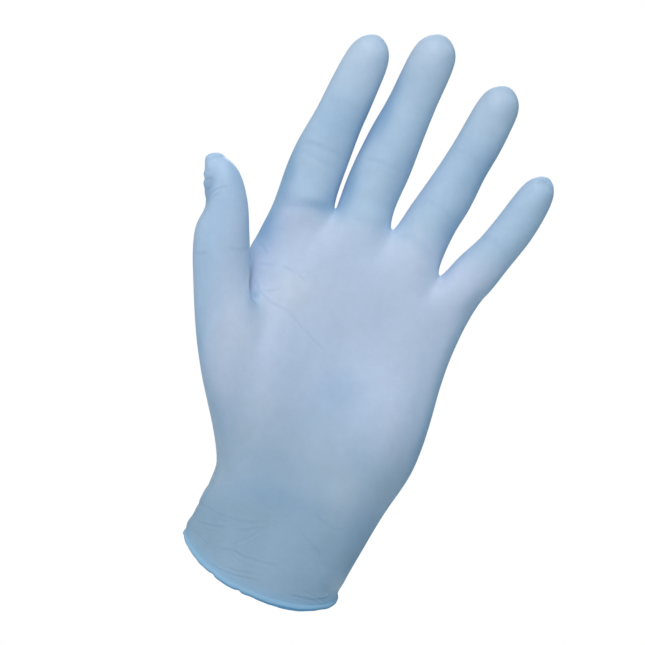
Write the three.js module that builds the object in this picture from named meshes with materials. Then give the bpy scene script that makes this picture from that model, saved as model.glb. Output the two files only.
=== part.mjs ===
// A disposable nitrile examination glove, in the full, spread form that it has when worn.
// Millimetres, +Z from the cuff to the fingertips, palm facing -Y, thumb towards -X.
// The origin is the middle of the cuff's opening.
//
// The real glove is one dipped film with its edge rolled into a bead, so it is one solid here.
// Its form is a cage of quads: a tube of rings for the cuff and palm, whose last ring parts into
// four finger loops with a web between neighbours, and a thumb that branches from a patch on the
// radial side. The cage is fitted so that the smooth surface passes through the tabled sections.
import * as THREE from "three";

// ---------- driving dimensions ----------
const WALL = 1.0; // film wall of the solid, measured inwards from the true outer face
const BEAD_R = 1.25; // radius of the rolled bead at the cuff
const BEAD_STEPS = 6; // facets of the bead's section
const RIM_TILT = 6.5; // the rim falls towards the palm side by this much, and rises by it at the back
const RIM_SAG = 5.5; // and both its middles hang this much below its sides
const RIM_SLOPE = 0.105; // it also falls towards the little finger's side
const FIT_STEPS = 14; // passes that fit the cage to its sections

// Cuff and palm. z: height of the ring; left, right: its edges seen from the palm side; palm, back:
// its depth each way from y; y: its middle; square: exponent of its outline; follow: share of the
// web line's rise and fall that the ring takes.
const PALM_ROWS = [
  { z: 1.2, left: -33.2, right: 33.7, y: 0.5, palm: 23.0, back: 22.0, square: 2.1, follow: 0 },
  { z: 9, left: -32.3, right: 34.6, y: 0.6, palm: 22.0, back: 21.0, square: 2.1, follow: 0 },
  { z: 22, left: -30.9, right: 37.7, y: 0.8, palm: 20.2, back: 19.3, square: 2.15, follow: 0 },
  { z: 38, left: -30.7, right: 41.9, y: 1, palm: 18.8, back: 18.0, square: 2.2, follow: 0 },
  { z: 53, left: -34.0, right: 46.3, y: 1, palm: 17.6, back: 17.0, square: 2.3, follow: 0.05 },
  { z: 68, left: -37.5, right: 47.7, y: 1, palm: 16.0, back: 16.4, square: 2.4, follow: 0.15 },
  { z: 82, left: -40.3, right: 47.6, y: 1, palm: 14.4, back: 15.6, square: 2.5, follow: 0.3 },
  { z: 97, left: -42.2, right: 47.4, y: 1, palm: 13.2, back: 14.8, square: 2.6, follow: 0.45 },
  { z: 118, left: -42.6, right: 48.9, y: 0.5, palm: 12.2, back: 13.6, square: 2.7, follow: 0.75 },
];

// The line of the webs, from the index finger's outer side to the little finger's. x, z: the crotch;
// palm, back: depth of the surface there each way; fall: how much lower it lies at the palm side
// and at the back.
const WEBS = [
  { name: "index_outer", x: -39.7, z: 139.5, palm: 6.0, back: 6.0, fallPalm: 0.5, fallBack: 1.0 },
  { name: "index_middle", x: -14.6, z: 146.8, palm: 7.6, back: 5.5, fallPalm: 3.0, fallBack: 8.0 },
  { name: "middle_ring", x: 9.9, z: 145.4, palm: 7.4, back: 5.5, fallPalm: 3.0, fallBack: 8.0 },
  { name: "ring_little", x: 33.3, z: 133.9, palm: 6.8, back: 5.0, fallPalm: 3.0, fallBack: 7.5 },
  { name: "little_outer", x: 52.6, z: 127.5, palm: 5.0, back: 5.0, fallPalm: 0.5, fallBack: 1.0 },
];
// Depth of each finger's root between its webs, and how much lower its middle lies there.
const ROOTS = [
  { name: "index", palm: 11.2, back: 10.2, fallPalm: 1.0, fallBack: 5.0 },
  { name: "middle", palm: 11.0, back: 11.0, fallPalm: 1.0, fallBack: 5.5 },
  { name: "ring", palm: 10.6, back: 10.4, fallPalm: 1.0, fallBack: 5.0 },
  { name: "little", palm: 9.4, back: 8.8, fallPalm: 1.0, fallBack: 4.0 },
];

// Digits, a row for each section from root to tip. x, y, z: its middle; wide, deep: its half sizes.
const DIGITS = {
  index: [
    { x: -27.1, y: -0.4, z: 153.5, wide: 11.75, deep: 10.1 },
    { x: -26.2, y: -0.8, z: 167.5, wide: 11.2, deep: 9.7 },
    { x: -24.4, y: -1.4, z: 180.5, wide: 10.15, deep: 9.0 },
    { x: -23.1, y: -2.0, z: 189.5, wide: 9.95, deep: 8.7 },
    { x: -21.3, y: -2.9, z: 202.0, wide: 9.5, deep: 8.3 },
    { x: -19.8, y: -3.6, z: 212.6, wide: 7.7, deep: 6.9 },
  ],
  middle: [
    { x: -2.9, y: 0.4, z: 154.5, wide: 11.25, deep: 10.2 },
    { x: -1.5, y: 0.3, z: 168.0, wide: 11.2, deep: 9.9 },
    { x: 0.2, y: -0.3, z: 182.0, wide: 10.65, deep: 9.2 },
    { x: 2.2, y: -1.2, z: 197.0, wide: 9.85, deep: 8.7 },
    { x: 4.0, y: -2.3, z: 211.0, wide: 9.55, deep: 8.2 },
    { x: 5.5, y: -3.1, z: 220.9, wide: 7.9, deep: 6.9 },
  ],
  ring: [
    { x: 23.6, y: 0.1, z: 151.5, wide: 10.75, deep: 9.7 },
    { x: 27.2, y: -0.2, z: 165.0, wide: 10.2, deep: 9.3 },
    { x: 30.0, y: -0.9, z: 177.5, wide: 9.4, deep: 8.6 },
    { x: 32.6, y: -1.8, z: 188.0, wide: 9.25, deep: 8.2 },
    { x: 35.0, y: -2.8, z: 200.0, wide: 8.95, deep: 7.8 },
    { x: 36.7, y: -3.5, z: 209.2, wide: 7.3, deep: 6.5 },
  ],
  little: [
    { x: 46.6, y: -1.0, z: 137.6, wide: 9.55, deep: 8.4 },
    { x: 51.6, y: -1.8, z: 148.0, wide: 8.6, deep: 7.8 },
    { x: 55.9, y: -2.8, z: 158.3, wide: 8.35, deep: 7.3 },
    { x: 59.2, y: -3.8, z: 168.5, wide: 7.9, deep: 6.9 },
    { x: 62.0, y: -4.7, z: 178.6, wide: 6.4, deep: 5.8 },
  ],
};
const TIPS = {
  index: { x: -19.1, y: -4.0, z: 218.4 },
  middle: { x: 6.2, y: -3.5, z: 226.4 },
  ring: { x: 37.6, y: -3.9, z: 214.3 },
  little: { x: 63.5, y: -5.1, z: 184.2 },
  thumb: { x: -66.6, y: -24.8, z: 153.8 },
};

// Thumb, from its root to the tip. lean: how far the section leans from square across the thumb
// towards the plane of the patch on the palm that it grows from, in degrees.
const THUMB = [
  { x: -49.6, y: -16.0, z: 107.0, wide: 12.3, deep: 12.6, lean: 12 },
  { x: -54.9, y: -19.8, z: 122.5, wide: 11.3, deep: 11.3, lean: 0 },
  { x: -57.8, y: -22.4, z: 135.5, wide: 9.4, deep: 9.9, lean: 0 },
  { x: -62.9, y: -24.3, z: 147.4, wide: 6.8, deep: 7.8, lean: 0 },
];
// One loop stands between the patch and the first section, this share of the way along, and swells
// outwards on its outer side, its front and its back.
const THUMB_ROOT = { share: 0.5, outer: 4.4, front: 2.0, back: 4.5 };

// Soft swellings and hollows of the palm and the back. side: which face; x, z: middle; rx, rz: reach;
// rise: outwards.
const SWELLINGS = [
  { name: "thumb_base", side: "palm", x: -26, z: 69, rx: 21, rz: 27, rise: 10.5 },
  { name: "thumb_web", side: "palm", x: -31, z: 89, rx: 15, rz: 15, rise: 7.0 },
  { name: "heel", side: "palm", x: 31, z: 62, rx: 17, rz: 34, rise: 5.0 },
  { name: "hollow", side: "palm", x: 8, z: 92, rx: 17, rz: 24, rise: -2.5 },
  { name: "finger_pads", side: "palm", x: 8, z: 128, rx: 44, rz: 12, rise: 1.5 },
  { name: "knuckle_index", side: "back", x: -26, z: 130, rx: 9, rz: 11, rise: 2.2 },
  { name: "knuckle_middle", side: "back", x: -3, z: 133, rx: 9, rz: 11, rise: 2.4 },
  { name: "knuckle_ring", side: "back", x: 19, z: 129, rx: 9, rz: 11, rise: 2.1 },
  { name: "knuckle_little", side: "back", x: 38, z: 119, rx: 8, rz: 10, rise: 1.9 },
];

// How much further back the palm's outer edge runs along the thumb's root, so that the two blend.
const THUMB_SET_BACK = 3.5;
const THUMB_EASE = 0.25; // and how closely the surface follows the tabled points there

// ---------- small vector help ----------
const add = (a, b, s = 1) => [a[0] + s * b[0], a[1] + s * b[1], a[2] + s * b[2]];
const sub = (a, b) => add(a, b, -1);
const mul = (a, s) => [a[0] * s, a[1] * s, a[2] * s];
const cross = (a, b) => [
  a[1] * b[2] - a[2] * b[1],
  a[2] * b[0] - a[0] * b[2],
  a[0] * b[1] - a[1] * b[0],
];
const unit = (a) => mul(a, 1 / (Math.hypot(...a) || 1));
const mix = (a, b, t) => a + (b - a) * t;
const pow = (v, e) => Math.sign(v) * Math.abs(v) ** e;

// ---------- the cage ----------
const FINGERS = ["index", "middle", "ring", "little"];
const FRONT = 3 * FINGERS.length + 1; // vertices across the palm side
const COLS = 2 * FRONT + 2; // and round a whole ring
const ULNAR = FRONT,
  RADIAL = COLS - 1;
const backCol = (k) => RADIAL - 1 - k; // the back vertex behind front vertex k
const TOP = PALM_ROWS.length; // the ring at the webs
// Palm quads that the thumb replaces: rings PATCH.low to PATCH.high, from the radial side to the
// third column of the palm.
const PATCH = { low: 3, high: 7, cols: [RADIAL, 0, 1, 2] };

const verts = [],
  quads = [],
  eased = new Map(); // vertices that the surface need not pass through, with their share of the fit
const point = (p) => verts.push(p) - 1;

// Across a ring, front vertex k stands at this share of the way from left to right at the webs.
const webShare = (k) => {
  const f = Math.min(Math.floor(k / 3), FINGERS.length - 1),
    t = (k - 3 * f) / 3;
  return mix(WEBS[f].x, WEBS[f + 1].x, t);
};
const webRise = (x) => {
  // height of the web line at x, over its mean
  const mean = 137;
  for (let i = 1; i < WEBS.length; i++)
    if (x <= WEBS[i].x || i === WEBS.length - 1) {
      const t = Math.min(1, Math.max(0, (x - WEBS[i - 1].x) / (WEBS[i].x - WEBS[i - 1].x)));
      return mix(WEBS[i - 1].z, WEBS[i].z, t) - mean;
    }
};
const swell = (side, x, z) =>
  SWELLINGS.filter((s) => s.side === side).reduce(
    (sum, s) => sum + s.rise * Math.exp(-(((x - s.x) / s.rx) ** 2) - ((z - s.z) / s.rz) ** 2),
    0,
  );
const rimDrop = (row, x, depth) => {
  // the rim's own line, fading out over the first rings
  const fade = [1, 0.72, 0.3, 0.05][row] ?? 0;
  return fade * (RIM_TILT * depth - RIM_SAG * depth ** 2 - RIM_SLOPE * x);
};

const ring = PALM_ROWS.map((r, i) => {
  const cx = (r.left + r.right) / 2,
    a = (r.right - r.left) / 2,
    toWebs = Math.max(0, (i - 3) / (TOP - 3)) ** 1.5;
  const at = (k, side) => {
    // k from 0 to FRONT - 1 on the palm or the back, or at an edge for side 0
    const angle = Math.PI * (1 - (k + 1) / (FRONT + 1));
    const even = pow(Math.cos(angle), 2 / r.square);
    const u = side === 0 ? (k < 0 ? -1 : 1) : mix(even, (webShare(k) - 6.2) / 50, toWebs);
    const v = side === 0 ? 0 : (1 - Math.min(1, Math.abs(u)) ** r.square) ** (1 / r.square);
    const x = cx + a * u;
    const z = r.z + r.follow * webRise(x) + rimDrop(i, x, side < 0 ? -v : v);
    let y = r.y + (side < 0 ? -r.palm * v : r.back * v);
    if (k < 0 && i > PATCH.low && i < PATCH.high) y += THUMB_SET_BACK;
    if (side < 0) y -= swell("palm", x, z) * Math.min(1, v * 1.3);
    if (side > 0) y += swell("back", x, z) * Math.min(1, v * 1.3);
    return point([x, y, z]);
  };
  const cols = [];
  for (let k = 0; k < FRONT; k++) cols.push(at(k, -1));
  cols.push(at(FRONT, 0));
  for (let k = FRONT - 1; k >= 0; k--) cols.push(at(k, 1));
  cols.push(at(-1, 0));
  return cols;
});

// the ring at the webs
{
  const cols = new Array(COLS);
  for (let k = 0; k < FRONT; k++) {
    const f = Math.min(Math.floor(k / 3), FINGERS.length - 1),
      inFinger = k % 3 !== 0;
    const x0 = webShare(k);
    if (inFinger) {
      const r = ROOTS[f],
        a = WEBS[f],
        b = WEBS[f + 1],
        t = (k % 3) / 3;
      const z = mix(a.z, b.z, t);
      cols[k] = point([x0, -r.palm, z - r.fallPalm]);
      cols[backCol(k)] = point([x0, r.back, z - r.fallBack]);
    } else {
      const w = WEBS[k / 3];
      const inset = k === 0 ? 2.2 : k === FRONT - 1 ? -2.0 : 0;
      cols[k] = point([w.x + inset, -w.palm, w.z - w.fallPalm]);
      cols[backCol(k)] = point([w.x + inset, w.back, w.z - w.fallBack]);
    }
  }
  cols[ULNAR] = point([WEBS[4].x, -0.4, WEBS[4].z]);
  cols[RADIAL] = point([WEBS[0].x, 0, WEBS[0].z]);
  ring.push(cols);
}
const saddle = WEBS.slice(1, -1).map((w) => point([w.x, -1.4, w.z]));

// palm quads, but for the thumb's patch
const inPatch = (r, c) =>
  r >= PATCH.low && r < PATCH.high && PATCH.cols.slice(0, -1).includes(c);
for (let r = 0; r < TOP; r++)
  for (let c = 0; c < COLS; c++)
    if (!inPatch(r, c)) {
      const d = (c + 1) % COLS;
      quads.push([ring[r][c], ring[r][d], ring[r + 1][d], ring[r + 1][c]]);
    }

const axisAt = (rows, i) => {
  const p = (q) => [q.x, q.y, q.z];
  return unit(sub(p(rows[Math.min(i + 1, rows.length - 1)]), p(rows[Math.max(i - 1, 0)])));
};
const tube = (from, to, flip) =>
  from.forEach((_, j) => {
    const n = (j + 1) % from.length;
    quads.push(flip ? [from[n], from[j], to[j], to[n]] : [from[j], from[n], to[n], to[j]]);
  });

// fingers: loops of ten, from the outer side round the palm side
FINGERS.forEach((name, f) => {
  const top = ring[TOP];
  let loop = [
    f === 0 ? top[RADIAL] : saddle[f - 1],
    top[3 * f],
    top[3 * f + 1],
    top[3 * f + 2],
    top[3 * f + 3],
    f === FINGERS.length - 1 ? top[ULNAR] : saddle[f],
    top[backCol(3 * f + 3)],
    top[backCol(3 * f + 2)],
    top[backCol(3 * f + 1)],
    top[backCol(3 * f)],
  ];
  const n = loop.length,
    rows = [...DIGITS[name], TIPS[name]];
  DIGITS[name].forEach((s, i) => {
    const axis = axisAt(rows, i),
      right = unit(cross([0, 1, 0], axis)),
      front = cross(right, axis);
    const next = loop.map((_, j) => {
      const angle = Math.PI + (2 * Math.PI * j) / n;
      return point(
        add(
          add([s.x, s.y, s.z], right, s.wide * Math.cos(angle)),
          front,
          -s.deep * Math.sin(angle),
        ),
      );
    });
    tube(loop, next);
    loop = next;
  });
  // the tip: two vertices inside the last loop
  const last = rows.length - 2,
    t = TIPS[name],
    s = rows[last],
    axis = unit(sub([t.x, t.y, t.z], [s.x, s.y, s.z])),
    right = unit(cross([0, 1, 0], axis));
  const m = [-1, 1].map((e) => point(add(add([t.x, t.y, t.z], right, e * s.wide * 0.34), axis, -0.35)));
  const [SL, FL, f1, f2, FR, SR, BR, b1, b2, BL] = loop;
  quads.push([FL, f1, m[0], SL], [f1, f2, m[1], m[0]], [f2, FR, SR, m[1]]);
  quads.push([SL, m[0], b2, BL], [m[0], m[1], b1, b2], [m[1], SR, BR, b1]);
});

// thumb: a loop of fourteen round its patch, from the web side round the palm side
{
  const { low, high, cols } = PATCH,
    at = (r, c) => ring[r][cols[c]];
  for (let r = low + 1; r <= high; r++) for (const c of [...cols, cols[3] + 1]) eased.set(ring[r][c], THUMB_EASE);
  let loop = [
    ...[0, 1, 2, 3].map((c) => at(high, c)),
    ...[1, 2, 3, 4].map((d) => at(high - d, 3)),
    ...[2, 1, 0].map((c) => at(low, c)),
    ...[1, 2, 3].map((d) => at(low + d, 0)),
  ];
  const n = loop.length,
    rows = [...THUMB, TIPS.thumb];
  let right, front, axis;
  THUMB.forEach((s, i) => {
    axis = axisAt(rows, i);
    const across = unit(cross([0, 1, 0], axis)),
      lean = (s.lean * Math.PI) / 180;
    front = cross(across, axis);
    right = add(mul(across, Math.cos(lean)), axis, Math.sin(lean));
    const turn = loop.map((_, j) => (2 * Math.PI * (j - 1.5)) / n);
    const section = turn.map((angle) =>
      add(
        add([s.x, s.y, s.z], right, s.wide * Math.cos(angle)),
        front,
        s.deep * Math.sin(angle),
      ),
    );
    if (i === 0) {
      const { share } = THUMB_ROOT;
      const between = loop.map((v, j) => {
        const p = verts[v].map((c, d) => mix(c, section[j][d], share));
        return point(
          add(
            add(p, across, -THUMB_ROOT.outer * Math.max(0, -Math.cos(turn[j]))),
            front,
            Math.sin(turn[j]) * (Math.sin(turn[j]) > 0 ? THUMB_ROOT.front : THUMB_ROOT.back),
          ),
        );
      });
      tube(loop, between, true);
      between.forEach((v) => eased.set(v, THUMB_EASE));
      loop = between;
    }
    const next = section.map(point);
    tube(loop, next, true);
    loop = next;
  });
  // the tip: a grid of six inside the last loop
  const t = TIPS.thumb,
    s = THUMB[THUMB.length - 1];
  const grid = [
    [3, 4, 5, 6, 7],
    [2, null, null, null, 8],
    [1, null, null, null, 9],
    [0, 13, 12, 11, 10],
  ].map((line, r) =>
    line.map((j, c) =>
      j !== null
        ? loop[j]
        : point(
            add(
              add(
                add([t.x, t.y, t.z], right, s.wide * 0.45 * (2 - c)),
                front,
                s.deep * 0.3 * (r === 1 ? 1 : -1),
              ),
              axis,
              -0.9 * Math.abs(c - 2) - 0.5,
            ),
          ),
    ),
  );
  for (let r = 0; r < 3; r++)
    for (let c = 0; c < 4; c++)
      quads.push([grid[r][c + 1], grid[r][c], grid[r + 1][c], grid[r + 1][c + 1]]);
}

// ---------- smooth surface ----------
// One step of Catmull and Clark's subdivision on quads with an open edge.
const around = (count, faces) => {
  const info = Array.from({ length: count }, () => ({ edge: new Set(), diag: [], faces: [] }));
  const edges = new Map();
  faces.forEach((q, f) =>
    q.forEach((v, i) => {
      const n = q[(i + 1) % 4],
        p = q[(i + 3) % 4];
      info[v].edge.add(n).add(p);
      info[v].diag.push(q[(i + 2) % 4]);
      info[v].faces.push(f);
      const key = v < n ? v + "_" + n : n + "_" + v;
      if (!edges.has(key)) edges.set(key, { a: v, b: n, faces: [] });
      edges.get(key).faces.push(f);
    }),
  );
  for (const e of edges.values())
    if (e.faces.length === 1) {
      (info[e.a].rim ??= []).push(e.b);
      (info[e.b].rim ??= []).push(e.a);
    }
  return { info, edges };
};
const average = (list) => mul(list.reduce((s, p) => add(s, p), [0, 0, 0]), 1 / list.length);
const limitOf = (p, { info }) =>
  p.map((v, i) => {
    const { edge, diag, rim } = info[i];
    if (rim) return mul(add(add(mul(v, 4), p[rim[0]]), p[rim[1]]), 1 / 6);
    const n = edge.size;
    let sum = mul(v, n * n);
    for (const e of edge) sum = add(sum, p[e], 4);
    for (const d of diag) sum = add(sum, p[d]);
    return mul(sum, 1 / (n * (n + 5)));
  });
const subdivide = (p, faces) => {
  const { info, edges } = around(p.length, faces);
  const centre = faces.map((q) => average(q.map((v) => p[v])));
  const out = p.map((v, i) => {
    const { edge, faces: fs, rim } = info[i];
    if (rim) return add(mul(v, 0.75), add(p[rim[0]], p[rim[1]]), 0.125);
    const n = edge.size,
      F = average(fs.map((f) => centre[f])),
      R = average([...edge].map((e) => mul(add(v, p[e]), 0.5)));
    return mul(add(add(F, R, 2), v, n - 3), 1 / n);
  });
  const middle = new Map();
  for (const [key, e] of edges) {
    const ends = mul(add(p[e.a], p[e.b]), 0.5);
    const q =
      e.faces.length === 1
        ? ends
        : mul(add(ends, mul(add(centre[e.faces[0]], centre[e.faces[1]]), 0.5)), 0.5);
    middle.set(key, out.push(q) - 1);
  }
  const mid = (a, b) => middle.get(a < b ? a + "_" + b : b + "_" + a);
  const made = [];
  faces.forEach((q, f) => {
    const c = out.push(centre[f]) - 1;
    q.forEach((v, i) => made.push([v, mid(v, q[(i + 1) % 4]), c, mid(q[(i + 3) % 4], v)]));
  });
  return { p: out, faces: made };
};

const cageInfo = around(verts.length, quads);
const loose = limitOf(verts, cageInfo);
let cage = verts.map((v, j) => add(v, sub(v, loose[j]), eased.get(j) ?? 1));
for (let i = 0; i < FIT_STEPS; i++) {
  const now = limitOf(cage, cageInfo);
  cage = cage.map((v, j) => add(v, sub(verts[j], now[j]), eased.has(j) ? 0 : 1));
}
const fine = subdivide(cage, quads);
const fineInfo = around(fine.p.length, fine.faces);
const outer = limitOf(fine.p, fineInfo);

// ---------- the wall and its bead ----------
const normals = outer.map(() => [0, 0, 0]);
for (const q of fine.faces) {
  const n = cross(sub(outer[q[2]], outer[q[0]]), sub(outer[q[3]], outer[q[1]]));
  for (const v of q) normals[v] = add(normals[v], n);
}
const normal = normals.map(unit);
const inner = outer.map((p, i) => add(p, normal[i], -WALL));

const triangles = [];
const positions = [...outer, ...inner];
const N = outer.length;
for (const [a, b, c, d] of fine.faces) {
  triangles.push([a, b, c], [a, c, d]);
  triangles.push([a + N, c + N, b + N], [a + N, d + N, c + N]);
}
// The rim in order, then the bead's section swept round it from the outer face to the inner one.
{
  const rimEdge = new Map();
  for (const e of fineInfo.edges.values())
    if (e.faces.length === 1) {
      // in the direction that its face runs
      const q = fine.faces[e.faces[0]],
        i = q.indexOf(e.a);
      if (q[(i + 1) % 4] === e.b) rimEdge.set(e.a, e.b);
      else rimEdge.set(e.b, e.a);
    }
  const first = rimEdge.keys().next().value,
    rim = [first];
  while (rimEdge.get(rim[rim.length - 1]) !== first) rim.push(rimEdge.get(rim[rim.length - 1]));
  let previous = rim;
  const n = rim.length;
  const open = Math.asin(WALL / 2 / BEAD_R);
  const frame = rim.map((v, i) => {
    const along = unit(sub(outer[rim[(i + 1) % n]], outer[rim[(i + n - 1) % n]]));
    const down = unit(cross(normal[v], along));
    return { down: down[2] > 0 ? mul(down, -1) : down, out: normal[v], mid: add(outer[v], normal[v], -WALL / 2) };
  });
  for (let s = 1; s <= BEAD_STEPS; s++) {
    const next =
      s === BEAD_STEPS
        ? rim.map((v) => v + N)
        : frame.map(({ down, out, mid }) => {
            const a = open + ((2 * Math.PI - 2 * open) * s) / BEAD_STEPS; // from straight up, outwards
            const c = add(mid, down, BEAD_R * Math.cos(open));
            return (
              positions.push(
                add(add(c, out, BEAD_R * Math.sin(a)), down, -BEAD_R * Math.cos(a)),
              ) - 1
            );
          });
    for (let i = 0; i < n; i++) {
      const j = (i + 1) % n;
      triangles.push([previous[j], previous[i], next[i]], [previous[j], next[i], next[j]]);
    }
    previous = next;
  }
}

const geometry = new THREE.BufferGeometry();
geometry.setAttribute("position", new THREE.Float32BufferAttribute(positions.flat(), 3));
geometry.setIndex(triangles.flat());
geometry.computeVertexNormals();

const glove = new THREE.Mesh(
  geometry,
  new THREE.MeshStandardMaterial({ color: 0x9dbcdc, roughness: 0.55, metalness: 0 }),
);
glove.name = "glove";

const group = new THREE.Group();
group.add(glove);
export default group;
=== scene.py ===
import math

import bpy
import numpy as np
from mathutils import Matrix, Vector


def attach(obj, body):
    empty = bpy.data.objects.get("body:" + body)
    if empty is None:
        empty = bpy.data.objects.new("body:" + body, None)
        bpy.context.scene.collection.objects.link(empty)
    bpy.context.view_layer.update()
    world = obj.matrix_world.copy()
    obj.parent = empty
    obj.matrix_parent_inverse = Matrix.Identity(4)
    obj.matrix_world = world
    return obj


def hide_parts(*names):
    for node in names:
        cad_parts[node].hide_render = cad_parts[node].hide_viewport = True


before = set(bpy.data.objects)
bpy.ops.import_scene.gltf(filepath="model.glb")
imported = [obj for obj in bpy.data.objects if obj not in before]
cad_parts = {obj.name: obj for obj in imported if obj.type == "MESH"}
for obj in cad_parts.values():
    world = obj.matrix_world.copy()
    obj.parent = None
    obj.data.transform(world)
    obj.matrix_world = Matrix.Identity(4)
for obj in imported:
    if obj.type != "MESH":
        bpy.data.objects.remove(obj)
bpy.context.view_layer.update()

# A disposable nitrile examination glove in the full, spread form that it has when worn.
# Millimetres here, metres in the meshes. +Z from the cuff to the fingertips, palm facing -Y,
# thumb towards -X. The origin is the middle of the cuff's opening.

# =====================================================================================
# The form: the same sections as the solid's
# =====================================================================================
WALL = 1.0  # from the outer face to the inner one
BEAD_R = 1.15  # radius of the rolled bead
BEAD_STEPS = 18  # facets of the bead's section
RIM_TILT, RIM_SAG, RIM_SLOPE = 6.5, 5.5, 0.105
FIT_STEPS = 14

# z, left, right, y, palm, back, square, follow
PALM_ROWS = [
    (1.2, -33.2, 33.7, 0.5, 23.0, 22.0, 2.1, 0),
    (9, -32.3, 34.6, 0.6, 22.0, 21.0, 2.1, 0),
    (22, -30.9, 37.7, 0.8, 20.2, 19.3, 2.15, 0),
    (38, -30.7, 41.9, 1, 18.8, 18.0, 2.2, 0),
    (53, -34.0, 46.3, 1, 17.6, 17.0, 2.3, 0.05),
    (68, -37.5, 47.7, 1, 16.0, 16.4, 2.4, 0.15),
    (82, -40.3, 47.6, 1, 14.4, 15.6, 2.5, 0.3),
    (97, -42.2, 47.4, 1, 13.2, 14.8, 2.6, 0.45),
    (118, -42.6, 48.9, 0.5, 12.2, 13.6, 2.7, 0.75),
]
# x, z, palm, back, fall at the palm side, fall at the back
WEBS = [
    (-39.7, 139.5, 6.0, 6.0, 0.5, 1.0),
    (-14.6, 146.8, 7.6, 5.5, 3.0, 8.0),
    (9.9, 145.4, 7.4, 5.5, 3.0, 8.0),
    (33.3, 133.9, 6.8, 5.0, 3.0, 7.5),
    (52.6, 127.5, 5.0, 5.0, 0.5, 1.0),
]
# palm, back, fall at the palm side, fall at the back
ROOTS = [(11.2, 10.2, 1.0, 5.0), (11.0, 11.0, 1.0, 5.5), (10.6, 10.4, 1.0, 5.0), (9.4, 8.8, 1.0, 4.0)]
FINGERS = ["index", "middle", "ring", "little"]
# x, y, z, half width, half depth
DIGITS = {
    "index": [
        (-27.1, -0.4, 153.5, 11.75, 10.1),
        (-26.2, -0.8, 167.5, 11.2, 9.7),
        (-24.4, -1.4, 180.5, 10.15, 9.0),
        (-23.1, -2.0, 189.5, 9.95, 8.7),
        (-21.3, -2.9, 202.0, 9.5, 8.3),
        (-19.8, -3.6, 212.6, 7.7, 6.9),
    ],
    "middle": [
        (-2.9, 0.4, 154.5, 11.25, 10.2),
        (-1.5, 0.3, 168.0, 11.2, 9.9),
        (0.2, -0.3, 182.0, 10.65, 9.2),
        (2.2, -1.2, 197.0, 9.85, 8.7),
        (4.0, -2.3, 211.0, 9.55, 8.2),
        (5.5, -3.1, 220.9, 7.9, 6.9),
    ],
    "ring": [
        (23.6, 0.1, 151.5, 10.75, 9.7),
        (27.2, -0.2, 165.0, 10.2, 9.3),
        (30.0, -0.9, 177.5, 9.4, 8.6),
        (32.6, -1.8, 188.0, 9.25, 8.2),
        (35.0, -2.8, 200.0, 8.95, 7.8),
        (36.7, -3.5, 209.2, 7.3, 6.5),
    ],
    "little": [
        (46.6, -1.0, 137.6, 9.55, 8.4),
        (51.6, -1.8, 148.0, 8.6, 7.8),
        (55.9, -2.8, 158.3, 8.35, 7.3),
        (59.2, -3.8, 168.5, 7.9, 6.9),
        (62.0, -4.7, 178.6, 6.4, 5.8),
    ],
}
TIPS = {
    "index": (-19.1, -4.0, 218.4),
    "middle": (6.2, -3.5, 226.4),
    "ring": (37.6, -3.9, 214.3),
    "little": (63.5, -5.1, 184.2),
    "thumb": (-66.6, -24.8, 153.8),
}
# x, y, z, half width, half depth, lean in degrees
THUMB = [
    (-49.6, -16.0, 107.0, 12.3, 12.6, 12),
    (-54.9, -19.8, 122.5, 11.3, 11.3, 0),
    (-57.8, -22.4, 135.5, 9.4, 9.9, 0),
    (-62.9, -24.3, 147.4, 6.8, 7.8, 0),
]
THUMB_ROOT = {"share": 0.5, "outer": 4.4, "front": 2.0, "back": 4.5}
THUMB_SET_BACK = 3.5
THUMB_EASE = 0.25
# side, x, z, reach in x, reach in z, rise
SWELLINGS = [
    ("palm", -26, 69, 21, 27, 10.5),
    ("palm", -31, 89, 15, 15, 7.0),
    ("palm", 31, 62, 17, 34, 5.0),
    ("palm", 8, 92, 17, 24, -2.5),
    ("palm", 8, 128, 44, 12, 1.5),
    ("back", -26, 130, 9, 11, 2.2),
    ("back", -3, 133, 9, 11, 2.4),
    ("back", 19, 129, 9, 11, 2.1),
    ("back", 38, 119, 8, 10, 1.9),
]

FRONT = 3 * len(FINGERS) + 1
COLS = 2 * FRONT + 2
ULNAR, RADIAL = FRONT, COLS - 1
TOP = len(PALM_ROWS)
PATCH_LOW, PATCH_HIGH, PATCH_COLS = 3, 7, [RADIAL, 0, 1, 2]


def unit(v):
    return v / (np.linalg.norm(v) or 1)


def mix(a, b, t):
    return a + (b - a) * t


def smooth(t):
    t = np.clip(t, 0, 1)
    return t * t * (3 - 2 * t)


def back_col(k):
    return RADIAL - 1 - k


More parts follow.
